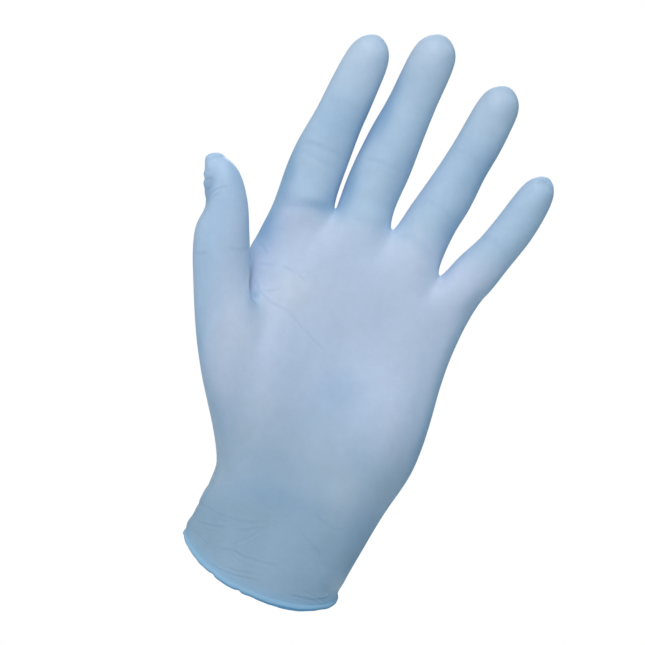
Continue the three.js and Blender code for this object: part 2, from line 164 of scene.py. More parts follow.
def build_cage():
    """The cage's vertices, its quads, which vertices the surface need not pass through, and a
    label for each quad."""
    verts, quads, labels, eased = [], [], [], {}

    def point(p):
        verts.append(np.array(p, float))
        return len(verts) - 1

    def quad(q, label):
        quads.append(list(q))
        labels.append(label)

    def web_share(k):
        f = min(k // 3, len(FINGERS) - 1)
        return mix(WEBS[f][0], WEBS[f + 1][0], (k - 3 * f) / 3)

    def web_rise(x):
        for i in range(1, len(WEBS)):
            if x <= WEBS[i][0] or i == len(WEBS) - 1:
                t = min(1, max(0, (x - WEBS[i - 1][0]) / (WEBS[i][0] - WEBS[i - 1][0])))
                return mix(WEBS[i - 1][1], WEBS[i][1], t) - 137

    def swell(side, x, z):
        return sum(
            s[5] * math.exp(-(((x - s[1]) / s[3]) ** 2) - ((z - s[2]) / s[4]) ** 2)
            for s in SWELLINGS
            if s[0] == side
        )

    def rim_drop(row, x, depth):
        fade = [1, 0.72, 0.3, 0.05][row] if row < 4 else 0
        return fade * (RIM_TILT * depth - RIM_SAG * depth**2 - RIM_SLOPE * x)

    ring = []
    for i, (rz, left, right, ry, palm, back, square, follow) in enumerate(PALM_ROWS):
        cx, a = (left + right) / 2, (right - left) / 2
        to_webs = max(0, (i - 3) / (TOP - 3)) ** 1.5

        def at(k, side):
            angle = math.pi * (1 - (k + 1) / (FRONT + 1))
            c = math.cos(angle)
            even = math.copysign(abs(c) ** (2 / square), c)
            u = (-1 if k < 0 else 1) if side == 0 else mix(even, (web_share(k) - 6.2) / 50, to_webs)
            v = 0 if side == 0 else (1 - min(1, abs(u)) ** square) ** (1 / square)
            x = cx + a * u
            z = rz + follow * web_rise(x) + rim_drop(i, x, -v if side < 0 else v)
            y = ry + (-palm * v if side < 0 else back * v)
            if k < 0 and PATCH_LOW < i < PATCH_HIGH:
                y += THUMB_SET_BACK
            if side < 0:
                y -= swell("palm", x, z) * min(1, v * 1.3)
            if side > 0:
                y += swell("back", x, z) * min(1, v * 1.3)
            return point((x, y, z))

        cols = [at(k, -1) for k in range(FRONT)] + [at(FRONT, 0)]
        cols += [at(k, 1) for k in range(FRONT - 1, -1, -1)] + [at(-1, 0)]
        ring.append(cols)

    cols = [None] * COLS
    for k in range(FRONT):
        f = min(k // 3, len(FINGERS) - 1)
        x0 = web_share(k)
        if k % 3:
            palm, back, fall_palm, fall_back = ROOTS[f]
            z = mix(WEBS[f][1], WEBS[f + 1][1], (k % 3) / 3)
            cols[k] = point((x0, -palm, z - fall_palm))
            cols[back_col(k)] = point((x0, back, z - fall_back))
        else:
            x, z, palm, back, fall_palm, fall_back = WEBS[k // 3]
            inset = 2.2 if k == 0 else -2.0 if k == FRONT - 1 else 0
            cols[k] = point((x + inset, -palm, z - fall_palm))
            cols[back_col(k)] = point((x + inset, back, z - fall_back))
    cols[ULNAR] = point((WEBS[4][0], -0.4, WEBS[4][1]))
    cols[RADIAL] = point((WEBS[0][0], 0, WEBS[0][1]))
    ring.append(cols)
    saddle = [point((w[0], -1.4, w[1])) for w in WEBS[1:-1]]

    for r in range(TOP):
        for c in range(COLS):
            if not (PATCH_LOW <= r < PATCH_HIGH and c in PATCH_COLS[:-1]):
                d = (c + 1) % COLS
                quad((ring[r][c], ring[r][d], ring[r + 1][d], ring[r + 1][c]), r)

    def axis_at(rows, i):
        return unit(
            np.array(rows[min(i + 1, len(rows) - 1)][:3]) - np.array(rows[max(i - 1, 0)][:3])
        )

    def tube(a, b, flip, label):
        for j in range(len(a)):
            n = (j + 1) % len(a)
            quad((a[n], a[j], b[j], b[n]) if flip else (a[j], a[n], b[n], b[j]), label)

    for f, name in enumerate(FINGERS):
        top = ring[TOP]
        loop = [
            top[RADIAL] if f == 0 else saddle[f - 1],
            top[3 * f],
            top[3 * f + 1],
            top[3 * f + 2],
            top[3 * f + 3],
            top[ULNAR] if f == len(FINGERS) - 1 else saddle[f],
            top[back_col(3 * f + 3)],
            top[back_col(3 * f + 2)],
            top[back_col(3 * f + 1)],
            top[back_col(3 * f)],
        ]
        n = len(loop)
        rows = DIGITS[name] + [TIPS[name]]
        label = 20 + 10 * f
        for i, (x, y, z, wide, deep) in enumerate(DIGITS[name]):
            axis = axis_at(rows, i)
            right = unit(np.cross((0, 1, 0), axis))
            front = np.cross(right, axis)
            section = []
            for j in range(n):
                angle = math.pi + 2 * math.pi * j / n
                section.append(
                    point(
                        np.array((x, y, z))
                        + right * wide * math.cos(angle)
                        - front * deep * math.sin(angle)
                    )
                )
            tube(loop, section, False, label + i)
            loop = section
        tip, last = np.array(TIPS[name]), np.array(DIGITS[name][-1][:3])
        axis = unit(tip - last)
        right = unit(np.cross((0, 1, 0), axis))
        m = [
            point(tip + right * e * DIGITS[name][-1][3] * 0.34 - axis * 0.35) for e in (-1, 1)
        ]
        SL, FL, f1, f2, FR, SR, BR, b1, b2, BL = loop
        for q in (
            (FL, f1, m[0], SL),
            (f1, f2, m[1], m[0]),
            (f2, FR, SR, m[1]),
            (SL, m[0], b2, BL),
            (m[0], m[1], b1, b2),
            (m[1], SR, BR, b1),
        ):
            quad(q, label + 9)

    def at(r, c):
        return ring[r][PATCH_COLS[c]]

    low, high = PATCH_LOW, PATCH_HIGH
    for r in range(low + 1, high + 1):
        for c in PATCH_COLS + [PATCH_COLS[3] + 1]:
            eased[ring[r][c]] = THUMB_EASE
    loop = [at(high, c) for c in (0, 1, 2, 3)] + [at(high - d, 3) for d in (1, 2, 3, 4)]
    loop += [at(low, c) for c in (2, 1, 0)] + [at(low + d, 0) for d in (1, 2, 3)]
    n = len(loop)
    rows = THUMB + [TIPS["thumb"]]
    for i, (x, y, z, wide, deep, lean) in enumerate(THUMB):
        axis = axis_at(rows, i)
        across = unit(np.cross((0, 1, 0), axis))
        lean = math.radians(lean)
        front = np.cross(across, axis)
        right = across * math.cos(lean) + axis * math.sin(lean)
        turn = [2 * math.pi * (j - 1.5) / n for j in range(n)]
        section = [
            np.array((x, y, z)) + right * wide * math.cos(a) + front * deep * math.sin(a)
            for a in turn
        ]
        if i == 0:
            between = []
            for j, v in enumerate(loop):
                p = mix(verts[v], section[j], THUMB_ROOT["share"])
                p = p - across * THUMB_ROOT["outer"] * max(0, -math.cos(turn[j]))
                swing = math.sin(turn[j])
                p = p + front * swing * (THUMB_ROOT["front"] if swing > 0 else THUMB_ROOT["back"])
                between.append(point(p))
            tube(loop, between, True, 60)
            for v in between:
                eased[v] = THUMB_EASE
            loop = between
        made = [point(p) for p in section]
        tube(loop, made, True, 61 + i)
        loop = made
    tip, (_, _, _, wide, deep, _) = np.array(TIPS["thumb"]), THUMB[-1]
    grid = []
    for r, line in enumerate(
        ([3, 4, 5, 6, 7], [2, None, None, None, 8], [1, None, None, None, 9], [0, 13, 12, 11, 10])
    ):
        grid.append(
            [
                loop[j]
                if j is not None
                else point(
                    tip
                    + right * wide * 0.45 * (2 - c)
                    + front * deep * 0.3 * (1 if r == 1 else -1)
                    + axis * (-0.9 * abs(c - 2) - 0.5)
                )
                for c, j in enumerate(line)
            ]
        )
    for r in range(3):
        for c in range(4):
            quad((grid[r][c + 1], grid[r][c], grid[r + 1][c], grid[r + 1][c + 1]), 69)
    return np.array(verts), np.array(quads), np.array(labels), eased


# =====================================================================================
# Smooth surface: Catmull and Clark's subdivision on quads with an open edge
# =====================================================================================
def topology(quads, count):
    pairs = np.stack([quads, np.roll(quads, -1, axis=1)], axis=2).reshape(-1, 2)
    key = pairs.min(1).astype(np.int64) * count + pairs.max(1)
    kinds, back, times = np.unique(key, return_inverse=True, return_counts=True)
    edges = np.stack([kinds // count, kinds % count], 1)
    return edges, back.reshape(-1, 4), times


def limit(p, quads):
    n = len(p)
    edges, _, times = topology(quads, n)
    valence = np.bincount(edges.ravel(), minlength=n).astype(float)[:, None]
    near, diagonal, rim = np.zeros_like(p), np.zeros_like(p), np.zeros_like(p)
    for a, b in ((0, 1), (1, 0)):
        np.add.at(near, edges[:, a], p[edges[:, b]])
        open_edges = edges[times == 1]
        np.add.at(rim, open_edges[:, a], p[open_edges[:, b]])
    for i in range(4):
        np.add.at(diagonal, quads[:, i], p[quads[:, (i + 2) % 4]])
    out = (p * valence**2 + 4 * near + diagonal) / np.maximum(valence * (valence + 5), 1)
    on_rim = np.zeros(n, bool)
    on_rim[edges[times == 1].ravel()] = True
    out[on_rim] = ((4 * p + rim) / 6)[on_rim]
    return out


def subdivide(p, quads):
    n = len(p)
    edges, of_face, times = topology(quads, n)
    centre = p[quads].mean(1)
    ends = p[edges].mean(1)
    total = np.zeros_like(ends)
    np.add.at(total, of_face.ravel(), np.repeat(centre, 4, axis=0))
    rim_edge = times == 1
    middle = np.where(rim_edge[:, None], ends, (ends + total / times[:, None]) / 2)
    F, R, rim = np.zeros_like(p), np.zeros_like(p), np.zeros_like(p)
    np.add.at(F, quads.ravel(), np.repeat(centre, 4, axis=0))
    for a, b in ((0, 1), (1, 0)):
        np.add.at(R, edges[:, a], ends)
        np.add.at(rim, edges[rim_edge][:, a], p[edges[rim_edge][:, b]])
    faces_at = np.maximum(np.bincount(quads.ravel(), minlength=n), 1)[:, None]
    edges_at = np.maximum(np.bincount(edges.ravel(), minlength=n), 1)[:, None]
    moved = (F / faces_at + 2 * R / edges_at + (edges_at - 3) * p) / edges_at
    on_rim = np.zeros(n, bool)
    on_rim[edges[rim_edge].ravel()] = True
    moved[on_rim] = (0.75 * p + 0.125 * rim)[on_rim]
    out = np.concatenate([moved, middle, centre])
    mid = n + of_face
    c = n + len(edges) + np.arange(len(quads))
    parts = []
    for i in range(4):
        corner = [quads[:, i], mid[:, i], c, mid[:, (i + 3) % 4]]
        parts.append(np.stack([corner[(k - i) % 4] for k in range(4)], 1))
    return out, np.stack(parts, 1).reshape(-1, 4), edges, of_face


def vertex_normals(p, faces):
    """faces: a list of arrays of triangles or quads."""
    out = np.zeros_like(p)
    for f in faces:
        if not len(f):
            continue
        if f.shape[1] == 4:
            n = np.cross(p[f[:, 2]] - p[f[:, 0]], p[f[:, 3]] - p[f[:, 1]])
        else:
            n = np.cross(p[f[:, 1]] - p[f[:, 0]], p[f[:, 2]] - p[f[:, 0]])
        for i in range(f.shape[1]):
            np.add.at(out, f[:, i], n)
    return out / np.maximum(np.linalg.norm(out, axis=1), 1e-12)[:, None]


def lattice(ix, iy, iz, seed):
    h = (ix * 374761393 + iy * 668265263 + iz * 362437 + seed * 1274126177) & 0xFFFFFFFF
    h = ((h ^ (h >> 13)) * 1274126177) & 0xFFFFFFFF
    return ((h ^ (h >> 16)) & 0xFFFF) / 32767.5 - 1


def noise(p, size, seed):
    """Smooth noise from -1 to 1 at points p, with features of the given size."""
    q = p / np.asarray(size, float)
    cell = np.floor(q).astype(np.int64)
    t = q - cell
    t = t * t * t * (t * (6 * t - 15) + 10)
    out = 0
    for dx in (0, 1):
        for dy in (0, 1):
            for dz in (0, 1):
                w = (
                    (t[:, 0] if dx else 1 - t[:, 0])
                    * (t[:, 1] if dy else 1 - t[:, 1])
                    * (t[:, 2] if dz else 1 - t[:, 2])
                )
                out = out + w * lattice(cell[:, 0] + dx, cell[:, 1] + dy, cell[:, 2] + dz, seed)
    return out


# =====================================================================================
# Creases, folds and dents of the film
# =====================================================================================
# Each line runs over the palm side or the back, as seen square on. points: (x, z); width: half
# width of the groove; depth: inwards; lip: the raised roll of film beside it, positive on the
# left of its run and negative on its right; parts: labels of the quads that it may mark.
CUFF = range(0, 4)
PALM = range(0, 20)
BODY = list(range(0, 20)) + [60, 61]
INDEX, MIDDLE, RING, LITTLE = range(20, 30), range(30, 40), range(40, 50), range(50, 60)
THUMBS = range(60, 70)
LINES = [
    # name, side, width, depth, lip, parts, points
    # the cuff's fine wrinkles, where the film is loose
    ("cuff_a", "palm", 0.42, 0.11, 0.085, CUFF, [(-30.3, 16.8), (-24.2, 15.5), (-15.8, 14.9), (-8.8, 15.9), (-4.4, 17.3)]),
    ("cuff_a_low", "palm", 0.36, 0.06, 0.05, CUFF, [(-27.6, 13.9), (-21.0, 13.2), (-14.0, 13.4)]),
    ("cuff_b", "palm", 0.40, 0.10, 0.08, CUFF, [(-30.8, 9.1), (-27.2, 9.6), (-21.6, 10.2), (-16.9, 10.8)]),
    ("cuff_b_low", "palm", 0.36, 0.07, -0.05, CUFF, [(-30.2, 6.6), (-26.0, 7.4), (-20.4, 7.9)]),
    ("cuff_c", "palm", 0.36, 0.07, 0.06, CUFF, [(-28.6, 5.2), (-26.2, 3.9), (-23.2, 2.0)]),
    ("cuff_d", "palm", 0.38, 0.08, 0.07, CUFF, [(-13.8, 11.1), (-8.0, 13.3), (-1.5, 16.2)]),
    ("cuff_e", "palm", 0.42, 0.11, -0.09, CUFF, [(-14.3, 4.8), (-9.5, 7.9), (-5.8, 11.6), (-4.2, 14.1)]),
    ("cuff_f", "palm", 0.44, 0.12, 0.10, CUFF, [(-19.7, 1.4), (-12.9, 3.0), (-8.5, 2.1), (-2.8, 1.9), (2.9, 2.1), (7.6, 2.6)]),
    ("cuff_f_low", "palm", 0.34, 0.06, 0.05, CUFF, [(-12.0, 0.4), (-5.5, -0.8), (1.5, -0.9)]),
    ("cuff_g", "palm", 0.42, 0.11, 0.09, CUFF, [(-21.5, -4.4), (-14.1, -6.1), (-8.3, -6.3), (-2.7, -5.8), (2.0, -5.5)]),
    ("cuff_h", "palm", 0.36, 0.07, 0.06, CUFF, [(-14.4, -4.6), (-8.8, -4.4), (-1.7, -3.4)]),
    ("cuff_i", "palm", 0.44, 0.17, -0.14, CUFF, [(7.7, 20.3), (12.6, 17.7), (16.9, 14.6), (21.7, 12.1), (26.4, 10.3), (30.6, 9.2)]),
    ("cuff_j", "palm", 0.40, 0.13, -0.10, CUFF, [(15.6, 15.9), (20.2, 12.7), (25.6, 8.8), (29.6, 7.2)]),
    ("cuff_k", "palm", 0.46, 0.15, 0.12, CUFF, [(13.7, 27.1), (18.5, 24.9), (23.8, 23.7), (28.4, 24.2)]),
    ("cuff_k_low", "palm", 0.36, 0.06, -0.05, CUFF, [(4.0, 24.4), (9.0, 22.0), (13.4, 18.8)]),
    ("cuff_l", "palm", 0.40, 0.15, 0.12, CUFF, [(13.2, -7.0), (19.7, -7.0), (24.4, -6.3), (28.5, -4.3), (31.3, -2.4)]),
    ("cuff_m", "palm", 0.38, 0.13, -0.10, CUFF, [(18.7, -4.3), (23.8, -4.8), (29.1, -6.2)]),
    ("cuff_o", "palm", 0.38, 0.13, 0.10, CUFF, [(26.4, -0.6), (29.4, -2.0), (32.0, -4.1)]),
    ("cuff_p", "palm", 0.34, 0.06, 0.05, CUFF, [(20.4, 2.2), (25.0, 0.6), (30.4, 0.4)]),
    # the fingers' creases, faint because the film is stretched over them
    ("index_tip_joint", "palm", 1.3, 0.08, 0.04, INDEX, [(-32.5, 187.4), (-27.1, 188.3), (-21, 188.2), (-15, 187.2)]),
    ("index_joint_a", "palm", 0.75, 0.14, 0.09, INDEX, [(-37.5, 167.4), (-32.1, 168.9), (-26.9, 168.8), (-21.7, 168.1), (-17.6, 167.0)]),
    ("index_joint_b", "palm", 0.80, 0.13, -0.08, INDEX, [(-37.2, 164.6), (-32.4, 164.5), (-26.9, 163.3), (-21.8, 163.2), (-17.4, 163.9)]),
    ("index_base", "palm", 1.9, 0.24, -0.12, list(INDEX) + [8], [(-39.4, 140.6), (-31.9, 143.2), (-24.1, 145.2), (-15.1, 147.2)]),
    ("middle_tip_joint", "palm", 1.3, 0.07, 0.04, MIDDLE, [(-5, 194.6), (0, 195.6), (4.5, 196.0), (9.5, 195.5)]),
    ("middle_joint", "palm", 0.80, 0.12, 0.08, MIDDLE, [(-10.4, 169.3), (-5, 169.9), (0, 169.7), (4, 169.2), (7.4, 168.6)]),
    ("middle_joint_low", "palm", 0.75, 0.09, -0.06, MIDDLE, [(-5.0, 166.4), (-0.5, 166.6), (4, 165.6), (7.4, 164.6)]),
    ("middle_base", "palm", 1.6, 0.10, 0.05, list(MIDDLE) + [8], [(-13.5, 147.2), (-7, 146.0), (0, 145.8), (8.6, 145.8)]),
    ("ring_tip_joint", "palm", 0.85, 0.08, 0.05, RING, [(23.0, 184.0), (28, 184.2), (32, 183.2), (37, 181.4)]),
    ("ring_joint", "palm", 0.85, 0.11, 0.07, RING, [(16.5, 160.6), (22, 160.8), (28, 158.8), (33.4, 156.2)]),
    ("ring_base", "palm", 1.6, 0.09, 0.04, list(RING) + [8], [(11, 145.0), (17, 144.4), (24, 142.4), (31, 138)]),
    ("little_tip_joint", "palm", 1.2, 0.06, 0.03, LITTLE, [(50.5, 168.4), (55, 168.6), (60, 166.4)]),
    ("little_joint", "palm", 1.4, 0.10, 0.05, LITTLE, [(43.5, 153.5), (49, 153.6), (55, 150.5), (59, 148)]),
    # tension lines that run out over the palm from the thumb's root
    ("palm_line_a", "palm", 0.44, 0.10, 0.09, BODY, [(-40.0, 116.3), (-35.9, 116.5), (-31.9, 117.2), (-28.2, 117.6), (-24.3, 117.3), (-20.1, 116.1), (-16.2, 114.6)]),
    ("palm_line_b", "palm", 0.46, 0.11, 0.10, BODY, [(-35.5, 107.0), (-33.0, 105.1), (-29.2, 103.4), (-23.7, 102.0), (-19.6, 101.0), (-15.9, 98.8), (-10.2, 95.5), (-5.5, 92.7), (-0.1, 90.2)]),
    ("palm_line_c", "palm", 0.40, 0.08, 0.07, BODY, [(-36.1, 105.7), (-32.6, 106.0), (-28.8, 107.4), (-25.1, 109.2)]),
    ("palm_line_d", "palm", 0.40, 0.12, 0.10, BODY, [(-37.4, 108.9), (-35.7, 107.8), (-34.2, 106.4)]),
    ("palm_line_top", "palm", 0.42, 0.08, 0.07, BODY, [(-41.1, 124.6), (-38.0, 123.2), (-34.6, 120.4)]),
    # the thumb: a flat fold under the tip and small pulls down its outer side
    ("thumb_tip_fold", "palm", 0.50, 0.17, 0.12, THUMBS, [(-69.7, 148.5), (-69.0, 150.4), (-66.6, 152.0), (-64.3, 152.8), (-62.5, 152.5)]),
    ("thumb_pull_a", "palm", 0.42, 0.17, 0.13, THUMBS, [(-66.2, 133.2), (-64.6, 135.6), (-63.0, 138.3)]),
    ("thumb_pull_b", "palm", 0.40, 0.15, 0.12, THUMBS, [(-65.0, 132.6), (-63.2, 135.3), (-60.8, 138.4)]),
    ("thumb_pull_c", "palm", 0.40, 0.12, 0.10, THUMBS, [(-63.9, 137.2), (-61.5, 139.9), (-58.0, 142.3)]),
    ("thumb_pull_d", "palm", 0.40, 0.09, 0.08, THUMBS, [(-67.4, 137.4), (-65.8, 138.6), (-64.4, 140.6)]),
    ("thumb_pull_e", "palm", 0.40, 0.08, 0.07, THUMBS, [(-69.0, 141.4), (-67.0, 142.2), (-65.2, 143.9)]),
    ("thumb_pull_f", "palm", 0.40, 0.05, 0.04, THUMBS, [(-69.6, 145.0), (-67.8, 145.8), (-66.0, 147.4)]),
    ("thumb_cross", "palm", 0.70, 0.16, 0.09, THUMBS, [(-50.6, 118.2), (-46.1, 119.2), (-42.4, 121.1)]),
    ("thumb_low", "palm", 0.60, 0.06, 0.04, THUMBS, [(-63.3, 112.0), (-60.6, 113.0), (-57.4, 114.3)]),
    ("little_tip_fold", "palm", 0.55, 0.20, 0.14, LITTLE, [(59.6, 180.6), (62.0, 182.6), (65.0, 181.8), (67, 179.4)]),
    # the back
    ("back_cuff_a", "back", 0.8, 0.18, 0.14, CUFF, [(-28, 14), (-16, 17.5), (-2, 17), (10, 14.2), (22, 15), (33, 19)]),
    ("back_cuff_b", "back", 0.7, 0.15, -0.12, CUFF, [(-30, 24), (-20, 22), (-6, 25.4), (8, 26), (20, 22.5)]),
    ("back_cuff_c", "back", 0.6, 0.14, 0.11, CUFF, [(-20, 9.4), (-8, 8), (4, 9.6), (16, 7.6), (27, 9.4)]),
    ("back_cuff_d", "back", 0.5, 0.10, 0.08, CUFF, [(-26, 4.6), (-17, 2.6), (-9, 3.4)]),
    ("back_cuff_e", "back", 0.5, 0.10, -0.08, CUFF, [(8, 1.6), (17, 3.2), (26, 2.0)]),
    ("back_narrow_a", "back", 1.6, 0.20, 0.12, PALM, [(-27, 36), (-12, 33), (6, 34.6), (24, 32.4), (37, 35)]),
    ("back_narrow_b", "back", 1.4, 0.16, -0.10, PALM, [(-26, 43), (-8, 41), (12, 42.4), (30, 40)]),
    ("back_index_joint_a", "back", 1.0, 0.18, 0.12, INDEX, [(-35, 171), (-27, 172.6), (-18, 171.6)]),
    ("back_index_joint_b", "back", 0.9, 0.15, -0.10, INDEX, [(-35.5, 167), (-27, 166), (-18, 167)]),
    ("back_index_tip", "back", 0.9, 0.10, 0.06, INDEX, [(-30, 194.4), (-23, 195.6), (-16, 194.8)]),
    ("back_middle_joint_a", "back", 1.0, 0.18, 0.12, MIDDLE, [(-10.5, 176), (-1.5, 177.8), (8, 176.6)]),
    ("back_middle_joint_b", "back", 0.9, 0.15, -0.10, MIDDLE, [(-10.5, 172), (-1.5, 171), (8, 172)]),
    ("back_middle_tip", "back", 0.9, 0.10, 0.06, MIDDLE, [(-4.5, 201.6), (3, 203), (10, 201.8)]),
    ("back_ring_joint_a", "back", 1.0, 0.17, 0.11, RING, [(20, 173), (27.5, 174.2), (36, 171.4)]),
    ("back_ring_joint_b", "back", 0.9, 0.14, -0.09, RING, [(19.4, 168.6), (27, 167.8), (35, 167)]),
    ("back_ring_tip", "back", 0.9, 0.09, 0.06, RING, [(27.5, 193.4), (33.5, 194.2), (40.5, 191.6)]),
    ("back_little_joint_a", "back", 0.9, 0.15, 0.10, LITTLE, [(45.5, 155.4), (52, 156.4), (60, 152.6)]),
    ("back_little_joint_b", "back", 0.9, 0.12, -0.08, LITTLE, [(44.5, 151.6), (51, 151.4), (58, 148.6)]),
    ("back_thumb_joint", "back", 1.2, 0.18, 0.10, THUMBS, [(-64, 123.4), (-57, 125), (-49, 124.4), (-46, 122)]),
    ("back_web_index", "back", 1.3, 0.16, 0.09, PALM, [(-15.4, 137), (-15.8, 130), (-17, 121)]),
    ("back_web_middle", "back", 1.3, 0.16, 0.09, PALM, [(9.2, 136), (8.8, 129), (8.4, 120)]),
    ("back_web_ring", "back", 1.3, 0.15, 0.09, PALM, [(31.2, 125), (30, 118), (28.6, 110)]),
]
HAIRLINE = 0.6  # lines narrower than this get the finest mesh

# Slow shifts of the film from the smooth form: (x, y, z): middle; reach each way; shift.
SHIFTS = [
    # the palm beside the thumb lies flat up to the thumb's side
    ("palm_by_thumb", (-34.5, -15, 102.5), (5.5, 9, 6.5), (-2.3, -1.8, 0)),
    ("palm_by_thumb_high", (-38.5, -14, 113), (4, 9, 6), (-0.9, -1.2, 0)),
    ("thumb_fork", (-41.8, -6, 122), (3, 12, 3.5), (-0.6, 0, 0)),
    ("palm_flat", (-31, -11, 114), (9, 7, 12), (0, -2.4, 0)),
    ("palm_valley", (-20.5, -16, 87), (7, 9, 12), (0, -0.8, 0)),
    # the thumb's tip and the hollow down its outer side
    ("thumb_tip_side", (-61.5, -25, 151), (4.6, 10, 6), (-1.3, 0, -0.3)),
    ("thumb_tip_top", (-66, -25, 155), (6, 10, 4), (0, 0, -0.7)),
    ("thumb_outer_hollow", (-67, -24, 131.8), (4, 10, 5.6), (2.1, 0, 0)),
    ("thumb_tip_corner", (-69.6, -25, 150), (2.6, 8, 2.6), (-0.8, 0, 0.3)),
    # the cuff flares out to the bead at the side
    ("cuff_flare_left", (-33, -2, 8.2), (4, 10, 3.0), (-1.0, 0, 0)),
    # the bead is a little higher where the rim sags most
    ("rim_low", (8, -22, -12), (14, 9, 5), (0, 0, 0.5)),
]

# Round dents (negative) and bumps (positive). x, y, z: middle; r: reach each way; rise: outwards.
DENTS = [
    # name, (x, y, z), reach, rise
    ("cuff_notch_left_a", (-31.0, -3, 25.2), (5, 9, 1.1), -0.30),
    ("cuff_notch_left_b", (-31.8, -3, 16.5), (5, 9, 1.0), -0.35),
    ("cuff_dip_right", (33.6, -4, -0.6), (5, 10, 2.6), -0.85),
    ("cuff_ridge_right", (24, -18, 35.5), (10, 9, 5.5), 0.30),
    ("cuff_hollow_middle", (2, -20, 20), (12, 8, 9), -0.30),
    ("cuff_pillow_left", (-14, -19, 5), (7, 8, 3.4), 0.18),
    ("cuff_pillow_low", (-6, -20, -2.0), (10, 8, 3.0), 0.20),
    ("cuff_pillow_right", (24, -17, 2.4), (7, 9, 4.5), 0.25),
    ("thumb_bump_a", (-69.3, -24, 144.2), (1.6, 5, 0.9), 0.26),
    ("thumb_dimple_a", (-69.0, -24, 142.2), (1.6, 5, 0.8), -0.30),
    ("thumb_bump_b", (-68.4, -24, 140.2), (1.6, 5, 0.9), 0.18),
    ("thumb_dimple_b", (-67.8, -24, 138.4), (1.6, 5, 0.8), -0.22),
    ("thumb_dimple_c", (-66.4, -24, 134.8), (2.4, 5, 0.8), -0.18),
    ("thumb_hollow", (-65.6, -30, 141), (2.2, 6, 7), -0.45),
    ("thumb_pad", (-58.5, -32, 139), (5, 6, 8), 0.30),
    ("thumb_notch", (-62.2, -25, 153.6), (1.3, 4, 1.2), -0.30),
    ("palm_mark", (20.6, -13, 134.4), (0.8, 4, 0.8), -0.16),
    ("palm_pad_light", (-20.5, -14, 110.0), (9, 6, 7), 0.40),
    ("little_dimple", (63.4, -9, 182.4), (1.2, 3, 1.0), -0.34),
]
# Patches where the film's colour is made paler (positive) or deeper (negative): a few follow the film's own
# tint where it is stretched thin or lies thicker, most are painted light and painted shade: middle; reach each way;
# amount.
PAINTED_LIGHT_AND_FILM_TONES = [
    # painted light on the palm's pad and sides, partly the paler tint of film stretched there
    ("palm_pad", (-21, -14, 110), (10, 12, 9), 0.45),
    ("palm_left", (-24, -18, 92), (14, 14, 16), 0.25),
    ("palm_right", (32, -14, 98), (13, 14, 26), 0.16),
    ("palm_low", (7, -14, 78), (11, 12, 12), -0.30),
    ("thumb_base", (-42, -26, 84), (10, 12, 18), 0.18),
    # painted shade in the hollow down the thumb's outer side
    ("thumb_hollow", (-65.6, -28, 139.5), (2.8, 8, 7), -0.55),
    ("cuff_left", (-30, -8, 14), (9, 12, 12), -0.15),
    ("heel", (-6, -20, 37), (28, 14, 13), -0.34),
    # painted highlight along the heel's ridge
    ("heel_ridge", (24, -18, 34), (5, 12, 12), 0.15),
    ("cuff_right", (34, -8, 30), (8, 14, 16), -0.20),
    ("index_middle", (-24, -8, 179), (12, 12, 14), -0.36),
    ("index_joint", (-28, -10, 161.5), (9, 10, 3.5), 0.22),
    # painted shade in the web beside the index finger and along the index's side and base
    ("index_web", (-17, -8, 148), (7, 10, 7), -0.40),
    ("index_side", (-38, -4, 133), (6, 8, 14), -0.32),
    ("index_base", (-27, -10, 146), (13, 10, 3), -0.28),
    ("middle_joint", (7, -6, 172), (7, 10, 8), -0.30),
    ("middle_high", (3, -8, 206), (10, 10, 9), -0.28),
    ("ring_middle", (33, -6, 184), (9, 10, 9), -0.28),
    ("ring_right", (30, -5, 152), (6, 10, 9), -0.35),
    ("ring_low", (20, -10, 150), (7, 8, 10), 0.22),
    ("heel_high", (4, -18, 60), (24, 14, 12), -0.24),
    ("heel_left", (-36, -18, 52), (10, 14, 14), -0.30),
    ("heel_right", (26, -18, 52), (10, 14, 12), -0.22),
    # painted shade along the fingers' edges, where they face each other
    ("index_right", (-12, -4, 178), (4, 10, 20), -0.50),
    ("index_left", (-37, -4, 157), (4, 10, 12), -0.62),
    ("index_foot", (-11, -4, 157), (4, 10, 8), -0.40),
    ("middle_left", (-6, -4, 192), (4, 10, 16), -0.55),
    ("middle_left_low", (-9, -4, 170), (3, 10, 8), 0.20),
    ("ring_edge", (41, -2, 178), (5, 10, 14), -0.32),
    ("little_edge", (60, -2, 162), (4, 10, 10), -0.28),
    ("palm_heel", (18, -18, 82), (15, 16, 16), -0.16),
    # painted light on the cuff's right corner
    ("cuff_corner", (32, -4, 1), (6, 14, 9), 0.50),
    ("cuff_high", (2, -14, 27), (32, 16, 6), -0.22),
    ("index_root", (-38, -6, 127), (9, 14, 13), -0.26),
    ("thumb_above", (-46, -24, 127), (7, 10, 7), -0.16),
    ("middle_low", (-2, -10, 161), (7, 10, 8), 0.20),
    ("index_edge", (-41, -4, 134), (3.5, 14, 10), -0.22),
    ("thumb_foot", (-32.5, -18, 91), (3, 14, 11), 0.20),
    ("thumb_foot_palm", (-23.5, -18, 89), (3.5, 14, 13), -0.24),
    ("palm_heel_right", (25, -16, 75), (10, 14, 12), -0.14),
    ("middle_band", (3, -8, 194), (8, 10, 2.6), 0.16),
    ("ring_between", (30, -6, 172), (9, 10, 7), -0.22),
    # painted light over the shadow in the cleft between the thumb and the palm, and painted shade in the pocket below
    # it
    ("thumb_cleft", (-38.8, -18, 110), (2.2, 9, 8), 0.75),
    ("thumb_pocket", (-34.7, -18, 103.6), (3, 14, 3.2), -0.75),
    # painted shade down the palm's two sides
    ("edge_left", (-51, -10, 80), (6, 16, 22), -0.44),
    ("edge_right", (48, -8, 64), (5, 14, 18), -0.36),
]
